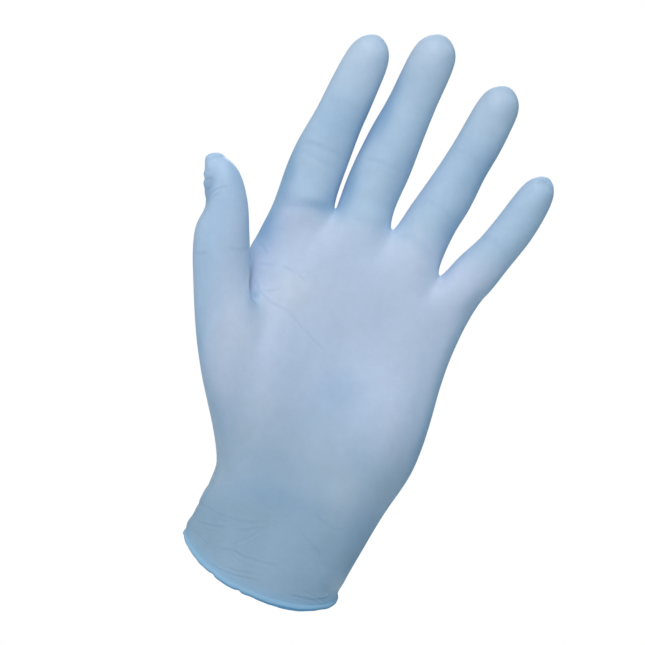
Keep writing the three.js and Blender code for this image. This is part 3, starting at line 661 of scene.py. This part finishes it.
UNEVEN = [  # size of the film's slow unevenness, its height, and a seed
    ((26, 26, 34), 0.30, 3),
    ((11, 11, 15), 0.11, 5),
    ((4.5, 4.5, 5.5), 0.028, 9),
]


def shifted(p):
    for _, middle, reach, shift in SHIFTS:
        q = (p - np.array(middle)) / np.array(reach)
        p = p + np.array(shift) * np.exp(-(q**2).sum(1))[:, None]
    return p


def along_line(x, z, points):
    """Distance from a polyline, signed with its left side positive, and the share of its length."""
    P = np.array(points, float)
    seg = P[1:] - P[:-1]
    length = np.linalg.norm(seg, axis=1)
    start = np.concatenate([[0], np.cumsum(length)])
    best = np.full(len(x), 1e9)
    side, share = np.zeros(len(x)), np.zeros(len(x))
    for i in range(len(seg)):
        dx, dz = x - P[i, 0], z - P[i, 1]
        t = np.clip((dx * seg[i, 0] + dz * seg[i, 1]) / length[i] ** 2, 0, 1)
        ex, ez = dx - t * seg[i, 0], dz - t * seg[i, 1]
        d = np.hypot(ex, ez)
        nearer = d < best
        best = np.where(nearer, d, best)
        side = np.where(nearer, np.sign(seg[i, 0] * dz - seg[i, 1] * dx), side)
        share = np.where(nearer, (start[i] + t * length[i]) / start[-1], share)
    return best * side, share


def curved(points, steps=6):
    """A polyline's points, rounded off (Catmull and Rom)."""
    P = np.array(points, float)
    P = np.concatenate([[2 * P[0] - P[1]], P, [2 * P[-1] - P[-2]]])
    out = []
    for i in range(1, len(P) - 2):
        for t in np.arange(steps) / steps:
            a, b, c, d = P[i - 1 : i + 3]
            out.append(
                0.5 * (2 * b + (c - a) * t + (2 * a - 5 * b + 4 * c - d) * t**2 + (3 * b - a - 3 * c + d) * t**3)
            )
    return np.array(out + [P[-2]])


def relief(p, normal, part):
    """How far each point of the film stands out of the smooth form, and how deep in a crease, which the material uses
    to paint shade into the creases.
    """
    rise = np.zeros(len(p))
    crease_shade = np.zeros(len(p))
    for name, side, width, depth, lip, parts, points in LINES:
        points = curved(points)
        lo, hi = points.min(0) - 4.5 * width, points.max(0) + 4.5 * width
        sign = -1 if side == "palm" else 1
        pick = np.flatnonzero(
            (p[:, 0] > lo[0])
            & (p[:, 0] < hi[0])
            & (p[:, 2] > lo[1])
            & (p[:, 2] < hi[1])
            & (sign * normal[:, 1] > -0.15)
            & np.isin(part, list(parts))
        )
        if not len(pick):
            continue
        wander = noise(p[pick], 3.2, len(name)) * 0.30 * width
        d, s = along_line(p[pick, 0], p[pick, 2], points)
        d = d + wander
        ends = smooth(s / 0.16) * smooth((1 - s) / 0.16)
        uneven = 1 + 0.35 * noise(p[pick], 5.0, 40 + len(name))
        face = smooth((sign * normal[pick, 1] + 0.15) / 0.45)
        w = ends * face * uneven
        groove = np.exp(-((d / width) ** 2))
        off = (d - math.copysign(1.9 * width, lip)) / (1.25 * width)
        rise[pick] += w * (abs(lip) * np.exp(-(off**2)) - depth * groove)
        crease_shade[pick] = np.maximum(crease_shade[pick], w * groove * min(1, depth / 0.3))
    for _, middle, reach, height in DENTS:
        q = (p - np.array(middle)) / np.array(reach)
        rise += height * np.exp(-(q**2).sum(1))
    for size, height, seed in UNEVEN:
        rise += height * noise(p, size, seed)
    return rise, crease_shade


def near_detail(p, normal, part, hairlines=False):
    """Which points lie near a line or a dent, where the mesh is made finer. With hairlines, which
    lie close to a line that is narrow."""
    out = np.zeros(len(p), bool)
    for _, side, width, _, _, parts, points in LINES:
        if width > (HAIRLINE if hairlines else 1.25):
            continue
        points = curved(points, 3)
        sign = -1 if side == "palm" else 1
        reach = 1.8 * width + 0.15 if hairlines else 2.2 * width + (1.1 if width < HAIRLINE else 0.5)
        lo, hi = points.min(0) - reach, points.max(0) + reach
        pick = np.flatnonzero(
            (p[:, 0] > lo[0])
            & (p[:, 0] < hi[0])
            & (p[:, 2] > lo[1])
            & (p[:, 2] < hi[1])
            & (sign * normal[:, 1] > -0.2)
            & np.isin(part, list(parts))
        )
        if len(pick):
            d, _ = along_line(p[pick, 0], p[pick, 2], points)
            out[pick[np.abs(d) < reach]] = True
    for _, middle, reach, _ in DENTS:
        if min(reach) < 2 and not hairlines:
            q = (p - np.array(middle)) / (np.array(reach) * 1.8)
            out |= (q**2).sum(1) < 1
    return out


# =====================================================================================
# The film's mesh
# =====================================================================================
verts, quads, labels, eased = build_cage()
share = np.ones(len(verts))
for v, s in eased.items():
    share[v] = s
fitted = np.array([v not in eased for v in range(len(verts))])
cage = verts + (verts - limit(verts, quads)) * share[:, None]
for _ in range(FIT_STEPS):
    cage = cage + (verts - limit(cage, quads)) * fitted[:, None]

level2, faces2 = cage, quads
for _ in range(2):
    level2, faces2, _, _ = subdivide(level2, faces2)
level3, faces3, _, _ = subdivide(level2, faces2)
part3 = np.repeat(labels, 64)
level4, faces4, edges3, face_edges3 = subdivide(level3, faces3)
level5, faces5, edges4, face_edges4 = subdivide(level4, faces4)
outer = shifted(limit(level5, faces5))  # its first points are the limits of levels 3 and 4
n3, n4 = len(level3), len(level4)

# finer faces in the cuff and wherever the film has detail, and the finest along the hairlines
mid3 = n3 + face_edges3
centre3 = n3 + len(edges3) + np.arange(len(faces3))
mid4 = n4 + face_edges4
centre4 = n4 + len(edges4) + np.arange(len(faces4))
normal4 = vertex_normals(outer[:n4], [faces4])
fine = near_detail(outer[centre3], normal4[centre3], part3)
fine |= (part3 <= 1) & (outer[centre3, 2] < 14)
fine |= part3 == 69
split3 = np.zeros(len(edges3), bool)
split3[face_edges3[fine].ravel()] = True
fine |= split3[face_edges3].all(1)
touched = split3[face_edges3].any(1) & ~fine

part4 = np.repeat(part3, 4)
fine4 = np.repeat(fine, 4)
closed = np.bincount(face_edges4.ravel(), minlength=len(edges4)) == 2
closed[face_edges4[~fine4].ravel()] = False
face_normal4 = vertex_normals(outer, [faces5])[centre4]
finest = near_detail(outer[centre4], face_normal4, part4, True)
finest &= closed[face_edges4].all(1)
split4 = np.zeros(len(edges4), bool)
split4[face_edges4[finest].ravel()] = True
finest |= split4[face_edges4].all(1)
touched4 = fine4 & split4[face_edges4].any(1) & ~finest


def fan(corners, middles, centres, split):
    """Triangles round the centre of each face, with the points of its split edges taken in."""
    made = []
    for corner, middle, c, s in zip(corners.tolist(), middles.tolist(), centres.tolist(), split.tolist()):
        loop = []
        for i in range(4):
            loop.append(corner[i])
            if s[i]:
                loop.append(middle[i])
        made += [(loop[i], loop[(i + 1) % len(loop)], c) for i in range(len(loop))]
    return np.array(made, int).reshape(-1, 3)


fans = np.concatenate(
    [
        fan(faces3[touched], mid3[touched], centre3[touched], split3[face_edges3[touched]]),
        fan(faces4[touched4], mid4[touched4], centre4[touched4], split4[face_edges4[touched4]]),
    ]
)
tri_part = np.concatenate(
    [
        np.repeat(part3[touched], split3[face_edges3[touched]].sum(1) + 4),
        np.repeat(part4[touched4], split4[face_edges4[touched4]].sum(1) + 4),
    ]
)
plain, plain4 = ~fine & ~touched, fine4 & ~finest & ~touched4
quad_faces = np.concatenate(
    [faces3[plain], faces4[plain4], faces5.reshape(-1, 4, 4)[finest].reshape(-1, 4)]
)
quad_part = np.concatenate([part3[plain], part4[plain4], np.repeat(part4[finest], 4)])
print("faces: level 3", plain.sum(), "level 4", plain4.sum(), "level 5", 4 * finest.sum(), "fans", len(fans))

used = np.unique(np.concatenate([quad_faces.ravel(), fans.ravel()]))
renumber = np.full(len(outer), -1)
renumber[used] = np.arange(len(used))
base = outer[used]
quad_faces, fans = renumber[quad_faces], renumber[fans]
part = np.zeros(len(base), int)
part[quad_faces.ravel()] = np.repeat(quad_part, 4)
if len(fans):
    part[fans.ravel()] = np.repeat(tri_part, 3)
base_normal = vertex_normals(base, [quad_faces, fans])
rise, crease_shade = relief(base, base_normal, part)

# The rim, in order. Below it comes the bead.
pairs = np.stack([quad_faces, np.roll(quad_faces, -1, axis=1)], 2).reshape(-1, 2)
pairs = np.concatenate([pairs, np.stack([fans, np.roll(fans, -1, axis=1)], 2).reshape(-1, 2)])
key = pairs.min(1).astype(np.int64) * len(base) + pairs.max(1)
_, first, times = np.unique(key, return_index=True, return_counts=True)
follow = dict(pairs[first[times == 1]].tolist())
rim = [next(iter(follow))]
while follow[rim[-1]] != rim[0]:
    rim.append(follow[rim[-1]])
rim = np.array(rim)
film = base + base_normal * rise[:, None]

inner_edge = shifted(limit(level2, faces2))
inner_normal = vertex_normals(inner_edge, [faces2])
inner = inner_edge - inner_normal * WALL
pairs = np.stack([faces2, np.roll(faces2, -1, axis=1)], 2).reshape(-1, 2)
key = pairs.min(1).astype(np.int64) * len(inner) + pairs.max(1)
_, first, times = np.unique(key, return_index=True, return_counts=True)
follow = dict(pairs[first[times == 1]].tolist())
inner_rim = [next(iter(follow))]
while follow[inner_rim[-1]] != inner_rim[0]:
    inner_rim.append(follow[inner_rim[-1]])
inner_rim = np.array(inner_rim)

# the bead: a tight roll of the film, a little uneven in its turns
n = len(rim)
along = np.roll(film[rim], -1, axis=0) - np.roll(film[rim], 1, axis=0)
along /= np.linalg.norm(along, axis=1)[:, None]
out = base_normal[rim]
down = np.cross(out, along)
down /= np.linalg.norm(down, axis=1)[:, None]
down[down[:, 2] > 0] *= -1
roll = BEAD_R * (
    1
    + 0.10 * noise(film[rim], 9.0, 21)
    + 0.07 * noise(film[rim], 3.4, 22)
    + 0.08 * np.exp(-(((film[rim, 0] + 10) / 5.5) ** 2)) * (film[rim, 1] < 0)
    + 0.22 * np.exp(-(((film[rim, 0] - 15) / 8) ** 2)) * (film[rim, 1] < 0)
    - 0.24 * np.exp(-(((film[rim, 0] + 17) / 1.3) ** 2)) * (film[rim, 1] < 0)
    - 0.22 * np.exp(-(((film[rim, 0] + 5.3) / 1.1) ** 2)) * (film[rim, 1] < 0)
    - 0.28 * np.exp(-(((film[rim, 0] + 33) / 7) ** 2)) * (film[rim, 1] < 0)
)[:, None]
start = film[rim] - out * (WALL / 2)
opening = np.arcsin(np.clip(WALL / 2 / roll, -1, 1))
centre = start + down * roll * np.cos(opening)
points = [film, inner]
bead_rings = [rim]
count = len(film) + len(inner)
bead_turn = []
for s in range(1, BEAD_STEPS):
    a = opening + (2 * np.pi - 2 * opening) * s / BEAD_STEPS
    lap = 0.05 * np.sin(3 * a + 0.6 + 2.5 * noise(film[rim], 14.0, 31)[:, None])  # edge of the roll's turns
    r = roll * (1 + lap * np.sin(a / 2))
    points.append(centre + out * r * np.sin(a) - down * r * np.cos(a))
    bead_turn.append(np.full(n, s / BEAD_STEPS))
    bead_rings.append(count + np.arange(n))
    count += n
position = np.concatenate(points)

faces = [tuple(q) for q in quad_faces.tolist()] + [tuple(t) for t in fans.tolist()]
shift = len(film)
faces += [(a + shift, d + shift, c + shift, b + shift) for a, b, c, d in faces2.tolist()]
for a, b in zip(bead_rings[:-1], bead_rings[1:]):
    a2, b2 = np.roll(a, -1), np.roll(b, -1)
    faces += list(zip(a2.tolist(), a.tolist(), b.tolist(), b2.tolist()))
# the last facet joins the bead to the coarser inner face
last, goal = bead_rings[-1], inner_rim + shift
begin = int(np.argmin(np.linalg.norm(position[goal] - position[last[0]], axis=1)))
goal = np.roll(goal, -begin)
i = j = 0
while i < n or j < len(goal):
    a, b = last[i % n], goal[j % len(goal)]
    if j >= len(goal) or (i < n and (i + 1) / n <= (j + 0.5) / len(goal)):
        faces.append((int(last[(i + 1) % n]), int(a), int(b)))
        i += 1
    else:
        faces.append((int(a), int(b), int(goal[(j + 1) % len(goal)])))
        j += 1

mesh = bpy.data.meshes.new("glove_film")
mesh.from_pydata((position / 1000).tolist(), [], faces)
mesh.update()
mesh.polygons.foreach_set("use_smooth", [True] * len(mesh.polygons))

# what the material reads: how far each point lies in the bead and in a crease (whose painted shade it sets),
# and the patches of paler and deeper colour, a little the film's own tint and mostly painted light and shade
bead = np.zeros(len(position))
d_rim = np.full(len(film), 99.0)
low = np.flatnonzero(base[:, 2] < 16)
for chunk in np.array_split(low, 40):
    if len(chunk):
        d_rim[chunk] = np.sqrt(
            ((film[chunk][:, None] - film[rim[::3]][None]) ** 2).sum(2).min(1)
        )
bead[: len(film)] = np.exp(-((d_rim / 0.55) ** 2))
bead[len(film) + len(inner) :] = 1.0
turn = np.zeros(len(position))
turn[len(film) + len(inner) :] = np.concatenate(bead_turn)
deep = np.zeros(len(position))
deep[: len(film)] = crease_shade
painted_light_and_tone = np.zeros(len(position))
for _, middle, reach, amount in PAINTED_LIGHT_AND_FILM_TONES:
    q = (position - np.array(middle)) / np.array(reach)
    painted_light_and_tone += amount * np.exp(-(q**2).sum(1))
near_bead = np.zeros(len(position))
near_bead[: len(film)] = np.exp(-((d_rim / 3.0) ** 2))
near_bead[len(film) + len(inner) :] = 1.0
for name, values in (
    ("bead", bead),
    ("turn", turn),
    ("crease_shade", deep),
    ("painted_light_and_tone", painted_light_and_tone),
    ("near_bead", near_bead),
):
    attribute = mesh.attributes.new(name, "FLOAT", "POINT")
    attribute.data.foreach_set("value", values.astype(np.float32))

glove = bpy.data.objects.new("glove_film", mesh)
bpy.context.scene.collection.objects.link(glove)
print("film:", len(mesh.vertices), "points,", sum(len(f) - 2 for f in faces), "triangles,", n, "round the rim")


# =====================================================================================
# Material
# =====================================================================================
def srgb(r, g, b):
    return tuple(
        (c / 12.92 if c <= 0.04045 else ((c + 0.055) / 1.055) ** 2.4)
        for c in (r / 255, g / 255, b / 255)
    ) + (1,)


def nitrile():
    m = bpy.data.materials.new("nitrile_film")
    m.use_nodes = True
    t = m.node_tree
    t.nodes.clear()

    def node(kind, **values):
        made = t.nodes.new(kind)
        for k, v in values.items():
            setattr(made, k, v)
        return made

    def feed(socket, value):
        if hasattr(value, "is_linked"):
            t.links.new(value, socket)
        else:
            socket.default_value = value

    def maths(kind, a, b=0.0, c=None, clamp=False):
        made = node("ShaderNodeMath", operation=kind, use_clamp=clamp)
        feed(made.inputs[0], a)
        feed(made.inputs[1], b)
        if c is not None:
            feed(made.inputs[2], c)
        return made.outputs[0]

    def ease(value, lo, hi, out_lo=0.0, out_hi=1.0):
        made = node("ShaderNodeMapRange", interpolation_type="SMOOTHSTEP")
        feed(made.inputs["Value"], value)
        for k, v in zip(("From Min", "From Max", "To Min", "To Max"), (lo, hi, out_lo, out_hi)):
            made.inputs[k].default_value = v
        return made.outputs[0]

    def blend(kind, factor, a, b):
        made = node("ShaderNodeMix", data_type="RGBA", blend_type=kind)
        feed(made.inputs["Factor"], factor)
        feed(made.inputs["A"], a)
        feed(made.inputs["B"], b)
        return made.outputs["Result"]

    def speckle(scale, detail=3.0, rough=0.5, distortion=0.0, stretch=None):
        source = place
        if stretch:
            made = node("ShaderNodeMapping")
            t.links.new(place, made.inputs["Vector"])
            made.inputs["Scale"].default_value = stretch
            source = made.outputs["Vector"]
        made = node("ShaderNodeTexNoise", noise_dimensions="3D")
        t.links.new(source, made.inputs["Vector"])
        made.inputs["Scale"].default_value = scale
        made.inputs["Detail"].default_value = detail
        made.inputs["Roughness"].default_value = rough
        made.inputs["Distortion"].default_value = distortion
        return made.outputs["Fac"]

    coordinates = node("ShaderNodeTexCoord")
    place = coordinates.outputs["Object"]
    xyz = node("ShaderNodeSeparateXYZ")
    t.links.new(place, xyz.inputs[0])
    x, y, z = xyz.outputs
    facing = node("ShaderNodeSeparateXYZ")
    t.links.new(coordinates.outputs["Normal"], facing.inputs[0])
    flank_tint_and_shade = maths("ABSOLUTE", facing.outputs[1])

    def given(name):
        made = node("ShaderNodeAttribute", attribute_name=name)
        return made.outputs["Fac"]

    in_bead, bead_at, painted_crease_shade = given("bead"), given("turn"), given("crease_shade")
    painted_light_and_tone, near_bead = given("painted_light_and_tone"), given("near_bead")
    # how far towards the thumb, which leans away from the palm
    thumbwards = maths("MULTIPLY_ADD", x, -1.0, maths("MULTIPLY", maths("MINIMUM", z, 0.12), -0.06))

    # tint: lavender where the film is stretched flat over the palm; a clearer blue on the fingers; on the flanks a
    # deeper blue that is partly the film's tint and partly painted shade; cyan towards the tips; greyer and darker
    # towards the cuff
    cloud = speckle(26, 2.0, 0.45)
    base_colour = blend("MIX", ease(flank_tint_and_shade, 0.93, 0.25), srgb(*TINT["pad"]), srgb(*TINT["flank_tint_and_shade"]))
    base_colour = blend("MIX", ease(z, 0.136, 0.152), base_colour, srgb(*TINT["digit"]))
    base_colour = blend("MIX", ease(thumbwards, 0.036, 0.052), base_colour, srgb(*TINT["thumb"]))
    base_colour = blend("MIX", ease(z, 0.180, 0.216), base_colour, srgb(*TINT["tip"]))
    base_colour = blend("MIX", ease(z, 0.080, 0.040), base_colour, srgb(*TINT["heel"]))
    base_colour = blend("MIX", ease(z, 0.042, 0.014), base_colour, srgb(*TINT["cuff"]))
    base_colour = blend("MIX", maths("MULTIPLY", ease(cloud, 0.42, 0.66), 0.22), base_colour, srgb(*TINT["flank_tint_and_shade"]))
    # painted light and shade: the patches lighten and darken the film's colour where it should look lit or shaded, with
    # a little of the film's own tint
    paler_and_painted_light, deeper_and_painted_shade = ease(painted_light_and_tone, 0.0, 1.0), ease(painted_light_and_tone, 0.0, -1.0)
    base_colour = blend("MIX", paler_and_painted_light, base_colour, srgb(*TINT["paler_and_painted_light"]))
    base_colour = blend("MIX", deeper_and_painted_shade, base_colour, srgb(*TINT["deeper_and_painted_shade"]))
    mottle = speckle(240, 4.0, 0.6)
    base_colour = blend("MULTIPLY", 1.0, base_colour, ramp_grey(t, node, mottle, 0.965, 1.02))
    streak = speckle(90, 3.0, 0.5, 0.4, (1.0, 1.0, 0.28))
    base_colour = blend("MULTIPLY", 1.0, base_colour, ramp_grey(t, node, streak, 0.98, 1.012))
    # painted shade: creases are darkened towards a deeper blue, as shade would fall in them
    base_colour = blend("MIX", maths("MULTIPLY", painted_crease_shade, 0.30), base_colour, srgb(*TINT["crease_shade"]))
    # the bead: many turns of film, clearer and deeper in colour, with painted shade darkening its outermost line along
    # the underside
    base_colour = blend("MIX", maths("MULTIPLY", near_bead, 0.55), base_colour, srgb(*TINT["bead"]))
    later = maths("MULTIPLY_ADD", ease(x, 0.002, 0.016), 0.07, bead_at)
    painted_bead_shade = maths("MULTIPLY", ease(later, 0.27, 0.37), ease(bead_at, 0.72, 0.60))
    bead_colour_and_shade = blend("MIX", painted_bead_shade, srgb(*TINT["bead"]), srgb(*TINT["bead_underside_shade"]))
    base_colour = blend("MIX", ease(in_bead, 0.15, 0.75), base_colour, bead_colour_and_shade)

    shader = node("ShaderNodeBsdfPrincipled")
    t.links.new(base_colour, shader.inputs["Base Color"])
    rough = maths("MULTIPLY_ADD", speckle(150, 3.0, 0.55), 0.16, FINISH["roughness"] - 0.08)
    t.links.new(rough, shader.inputs["Roughness"])
    shader.inputs["IOR"].default_value = 1.45
    shader.inputs["Specular IOR Level"].default_value = FINISH["specular"]
    shader.inputs["Sheen Weight"].default_value = FINISH["sheen"]
    shader.inputs["Sheen Roughness"].default_value = 0.5
    shader.inputs["Sheen Tint"].default_value = (0.75, 0.86, 1.0, 1)

    # bump: the dipped film's fine grain, tight little pulls and slow ripples
    def bump(height, distance, strength, below=None):
        made = node("ShaderNodeBump")
        made.inputs["Strength"].default_value = strength
        made.inputs["Distance"].default_value = distance
        t.links.new(height, made.inputs["Height"])
        if below is not None:
            t.links.new(below, made.inputs["Normal"])
        return made.outputs["Normal"]

    grain = speckle(1500, 4.0, 0.6)
    pulls = speckle(330, 3.0, 0.5, 0.6, (1.0, 1.0, 2.4))
    loose = speckle(120, 3.0, 0.55, 0.8, (0.8, 1.0, 2.6))
    cuffness = maths("MULTIPLY", ease(z, 0.040, 0.012), loose)
    normal = bump(grain, 0.00005, 0.30)
    normal = bump(pulls, 0.00022, 0.22, normal)
    normal = bump(cuffness, 0.0008, 0.22, normal)
    t.links.new(normal, shader.inputs["Normal"])
    output = node("ShaderNodeOutputMaterial")
    t.links.new(shader.outputs[0], output.inputs["Surface"])
    return m


def ramp_grey(t, node, value, lo, hi):
    """A grey that goes from lo to hi with the value."""
    made = node("ShaderNodeMapRange")
    t.links.new(value, made.inputs["Value"])
    made.inputs["From Min"].default_value, made.inputs["From Max"].default_value = 0.3, 0.7
    made.inputs["To Min"].default_value, made.inputs["To Max"].default_value = lo, hi
    grey = node("ShaderNodeCombineColor")
    for i in range(3):
        t.links.new(made.outputs[0], grey.inputs[i])
    return grey.outputs[0]


# several of these colours carry painted shade and painted light: the darker flank blue in part, the crease blue, the
# bead's underside line, and the paler and deeper patch colours
TINT = {
    "pad": (194, 209, 234),
    "flank_tint_and_shade": (174, 199, 226),
    "digit": (176, 202, 228),
    "thumb": (180, 207, 237),
    "tip": (183, 204, 226),
    "heel": (172, 193, 214),
    "cuff": (144, 173, 198),
    "crease_shade": (118, 156, 196),
    "bead": (144, 187, 220),
    "bead_underside_shade": (94, 154, 198),
    "paler_and_painted_light": (216, 226, 240),
    "deeper_and_painted_shade": (120, 164, 202),
}
FINISH = {"roughness": 0.5, "specular": 0.35, "sheen": 0.05}
glove.data.materials.append(nitrile())
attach(glove, "root")
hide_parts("glove")

# =====================================================================================
# Stage, light and camera
# =====================================================================================
TURN = math.radians(17.5)  # the glove leans this far clockwise in the picture
RIGHT = Vector((math.cos(TURN), 0, math.sin(TURN)))
UP = Vector((-math.sin(TURN), 0, math.cos(TURN)))
TOWARDS = Vector((0, -1, 0))  # from the glove to the camera
MIDDLE = Vector((-0.00574, 0, 0.10132))  # what the picture's middle shows
FRAME = 0.2606  # width of the picture at the glove
LENS = 600


def place_at(across, up, near, target=MIDDLE):
    """A matrix for a lamp at that place in the picture's own directions, aimed at the target."""
    spot = MIDDLE + RIGHT * across + UP * up + TOWARDS * near
    way = (target - spot).normalized()
    return Matrix.Translation(spot) @ way.to_track_quat("-Z", "Y").to_matrix().to_4x4()


def lamp(name, across, up, near, size, power, colour, target=MIDDLE):
    data = bpy.data.lights.new(name, "AREA")
    data.shape = "DISK"
    data.size = size
    data.energy = power
    data.color = colour
    made = bpy.data.objects.new(name, data)
    bpy.context.scene.collection.objects.link(made)
    made.matrix_world = place_at(across, up, near, target)
    made.visible_camera = False
    return made


lamp("key", 0.02, 0.77, 0.64, 0.55, 5.8, (1.0, 0.93, 0.91))
lamp("front", 0, 0, 1.0, 0.5, 0.9, (1.0, 0.76, 0.60))
lamp("low_left", -0.6, -0.54, 0.6, 0.5, 2.1, (0.80, 0.88, 1.0))
lamp("behind", 0.15, 0.55, -0.95, 0.6, 3.5, (1.0, 0.97, 0.95))
lamp("edge", -1.0, 0.30, -0.12, 0.5, 1.0, (1.0, 0.95, 0.93))

world = bpy.data.worlds.new("studio")
bpy.context.scene.world = world
world.use_nodes = True
w = world.node_tree
w.nodes.clear()
# a soft surround, neutral on the glove's thumb side and cooler on the other
soft = w.nodes.new("ShaderNodeBackground")
soft.inputs["Strength"].default_value = 0.42
around = w.nodes.new("ShaderNodeTexCoord")
sideways = w.nodes.new("ShaderNodeVectorMath")
sideways.operation = "DOT_PRODUCT"
sideways.inputs[1].default_value = tuple(RIGHT)
w.links.new(around.outputs["Generated"], sideways.inputs[0])
share_right = w.nodes.new("ShaderNodeMapRange")
share_right.inputs["From Min"].default_value, share_right.inputs["From Max"].default_value = -0.8, 0.8
w.links.new(sideways.outputs["Value"], share_right.inputs["Value"])
surround = w.nodes.new("ShaderNodeMix")
surround.data_type = "RGBA"
surround.inputs["A"].default_value = (0.88, 0.98, 0.98, 1)
surround.inputs["B"].default_value = (0.50, 0.80, 0.94, 1)
w.links.new(share_right.outputs[0], surround.inputs["Factor"])
w.links.new(surround.outputs["Result"], soft.inputs["Color"])
white = w.nodes.new("ShaderNodeBackground")
white.inputs["Color"].default_value = (1, 1, 1, 1)
white.inputs["Strength"].default_value = 1.0
path = w.nodes.new("ShaderNodeLightPath")
choose = w.nodes.new("ShaderNodeMixShader")
world_out = w.nodes.new("ShaderNodeOutputWorld")
w.links.new(path.outputs["Is Camera Ray"], choose.inputs[0])
w.links.new(soft.outputs[0], choose.inputs[1])
w.links.new(white.outputs[0], choose.inputs[2])
w.links.new(choose.outputs[0], world_out.inputs["Surface"])

floor_mesh = bpy.data.meshes.new("floor")
floor_mesh.from_pydata(
    [(-3, -3, -0.30), (3, -3, -0.30), (3, 1.6, -0.30), (-3, 1.6, -0.30)], [], [(0, 1, 2, 3)]
)
floor = bpy.data.objects.new("floor", floor_mesh)
bpy.context.scene.collection.objects.link(floor)
pale = bpy.data.materials.new("pale_floor")
pale.use_nodes = True
pale.node_tree.nodes["Principled BSDF"].inputs["Base Color"].default_value = (0.92, 0.93, 0.95, 1)
pale.node_tree.nodes["Principled BSDF"].inputs["Roughness"].default_value = 0.8
floor_mesh.materials.append(pale)

camera_data = bpy.data.cameras.new("camera")
camera_data.type = "PERSP"
camera_data.sensor_width = 36
camera_data.lens = LENS
camera_data.clip_start, camera_data.clip_end = 0.05, 100
camera = bpy.data.objects.new("camera", camera_data)
bpy.context.scene.collection.objects.link(camera)
turn_matrix = Matrix((RIGHT, UP, TOWARDS)).transposed().to_4x4()
camera.matrix_world = Matrix.Translation(MIDDLE + TOWARDS * (FRAME * LENS / 36)) @ turn_matrix
bpy.context.scene.camera = camera
bpy.context.scene.view_settings.view_transform = "Standard"
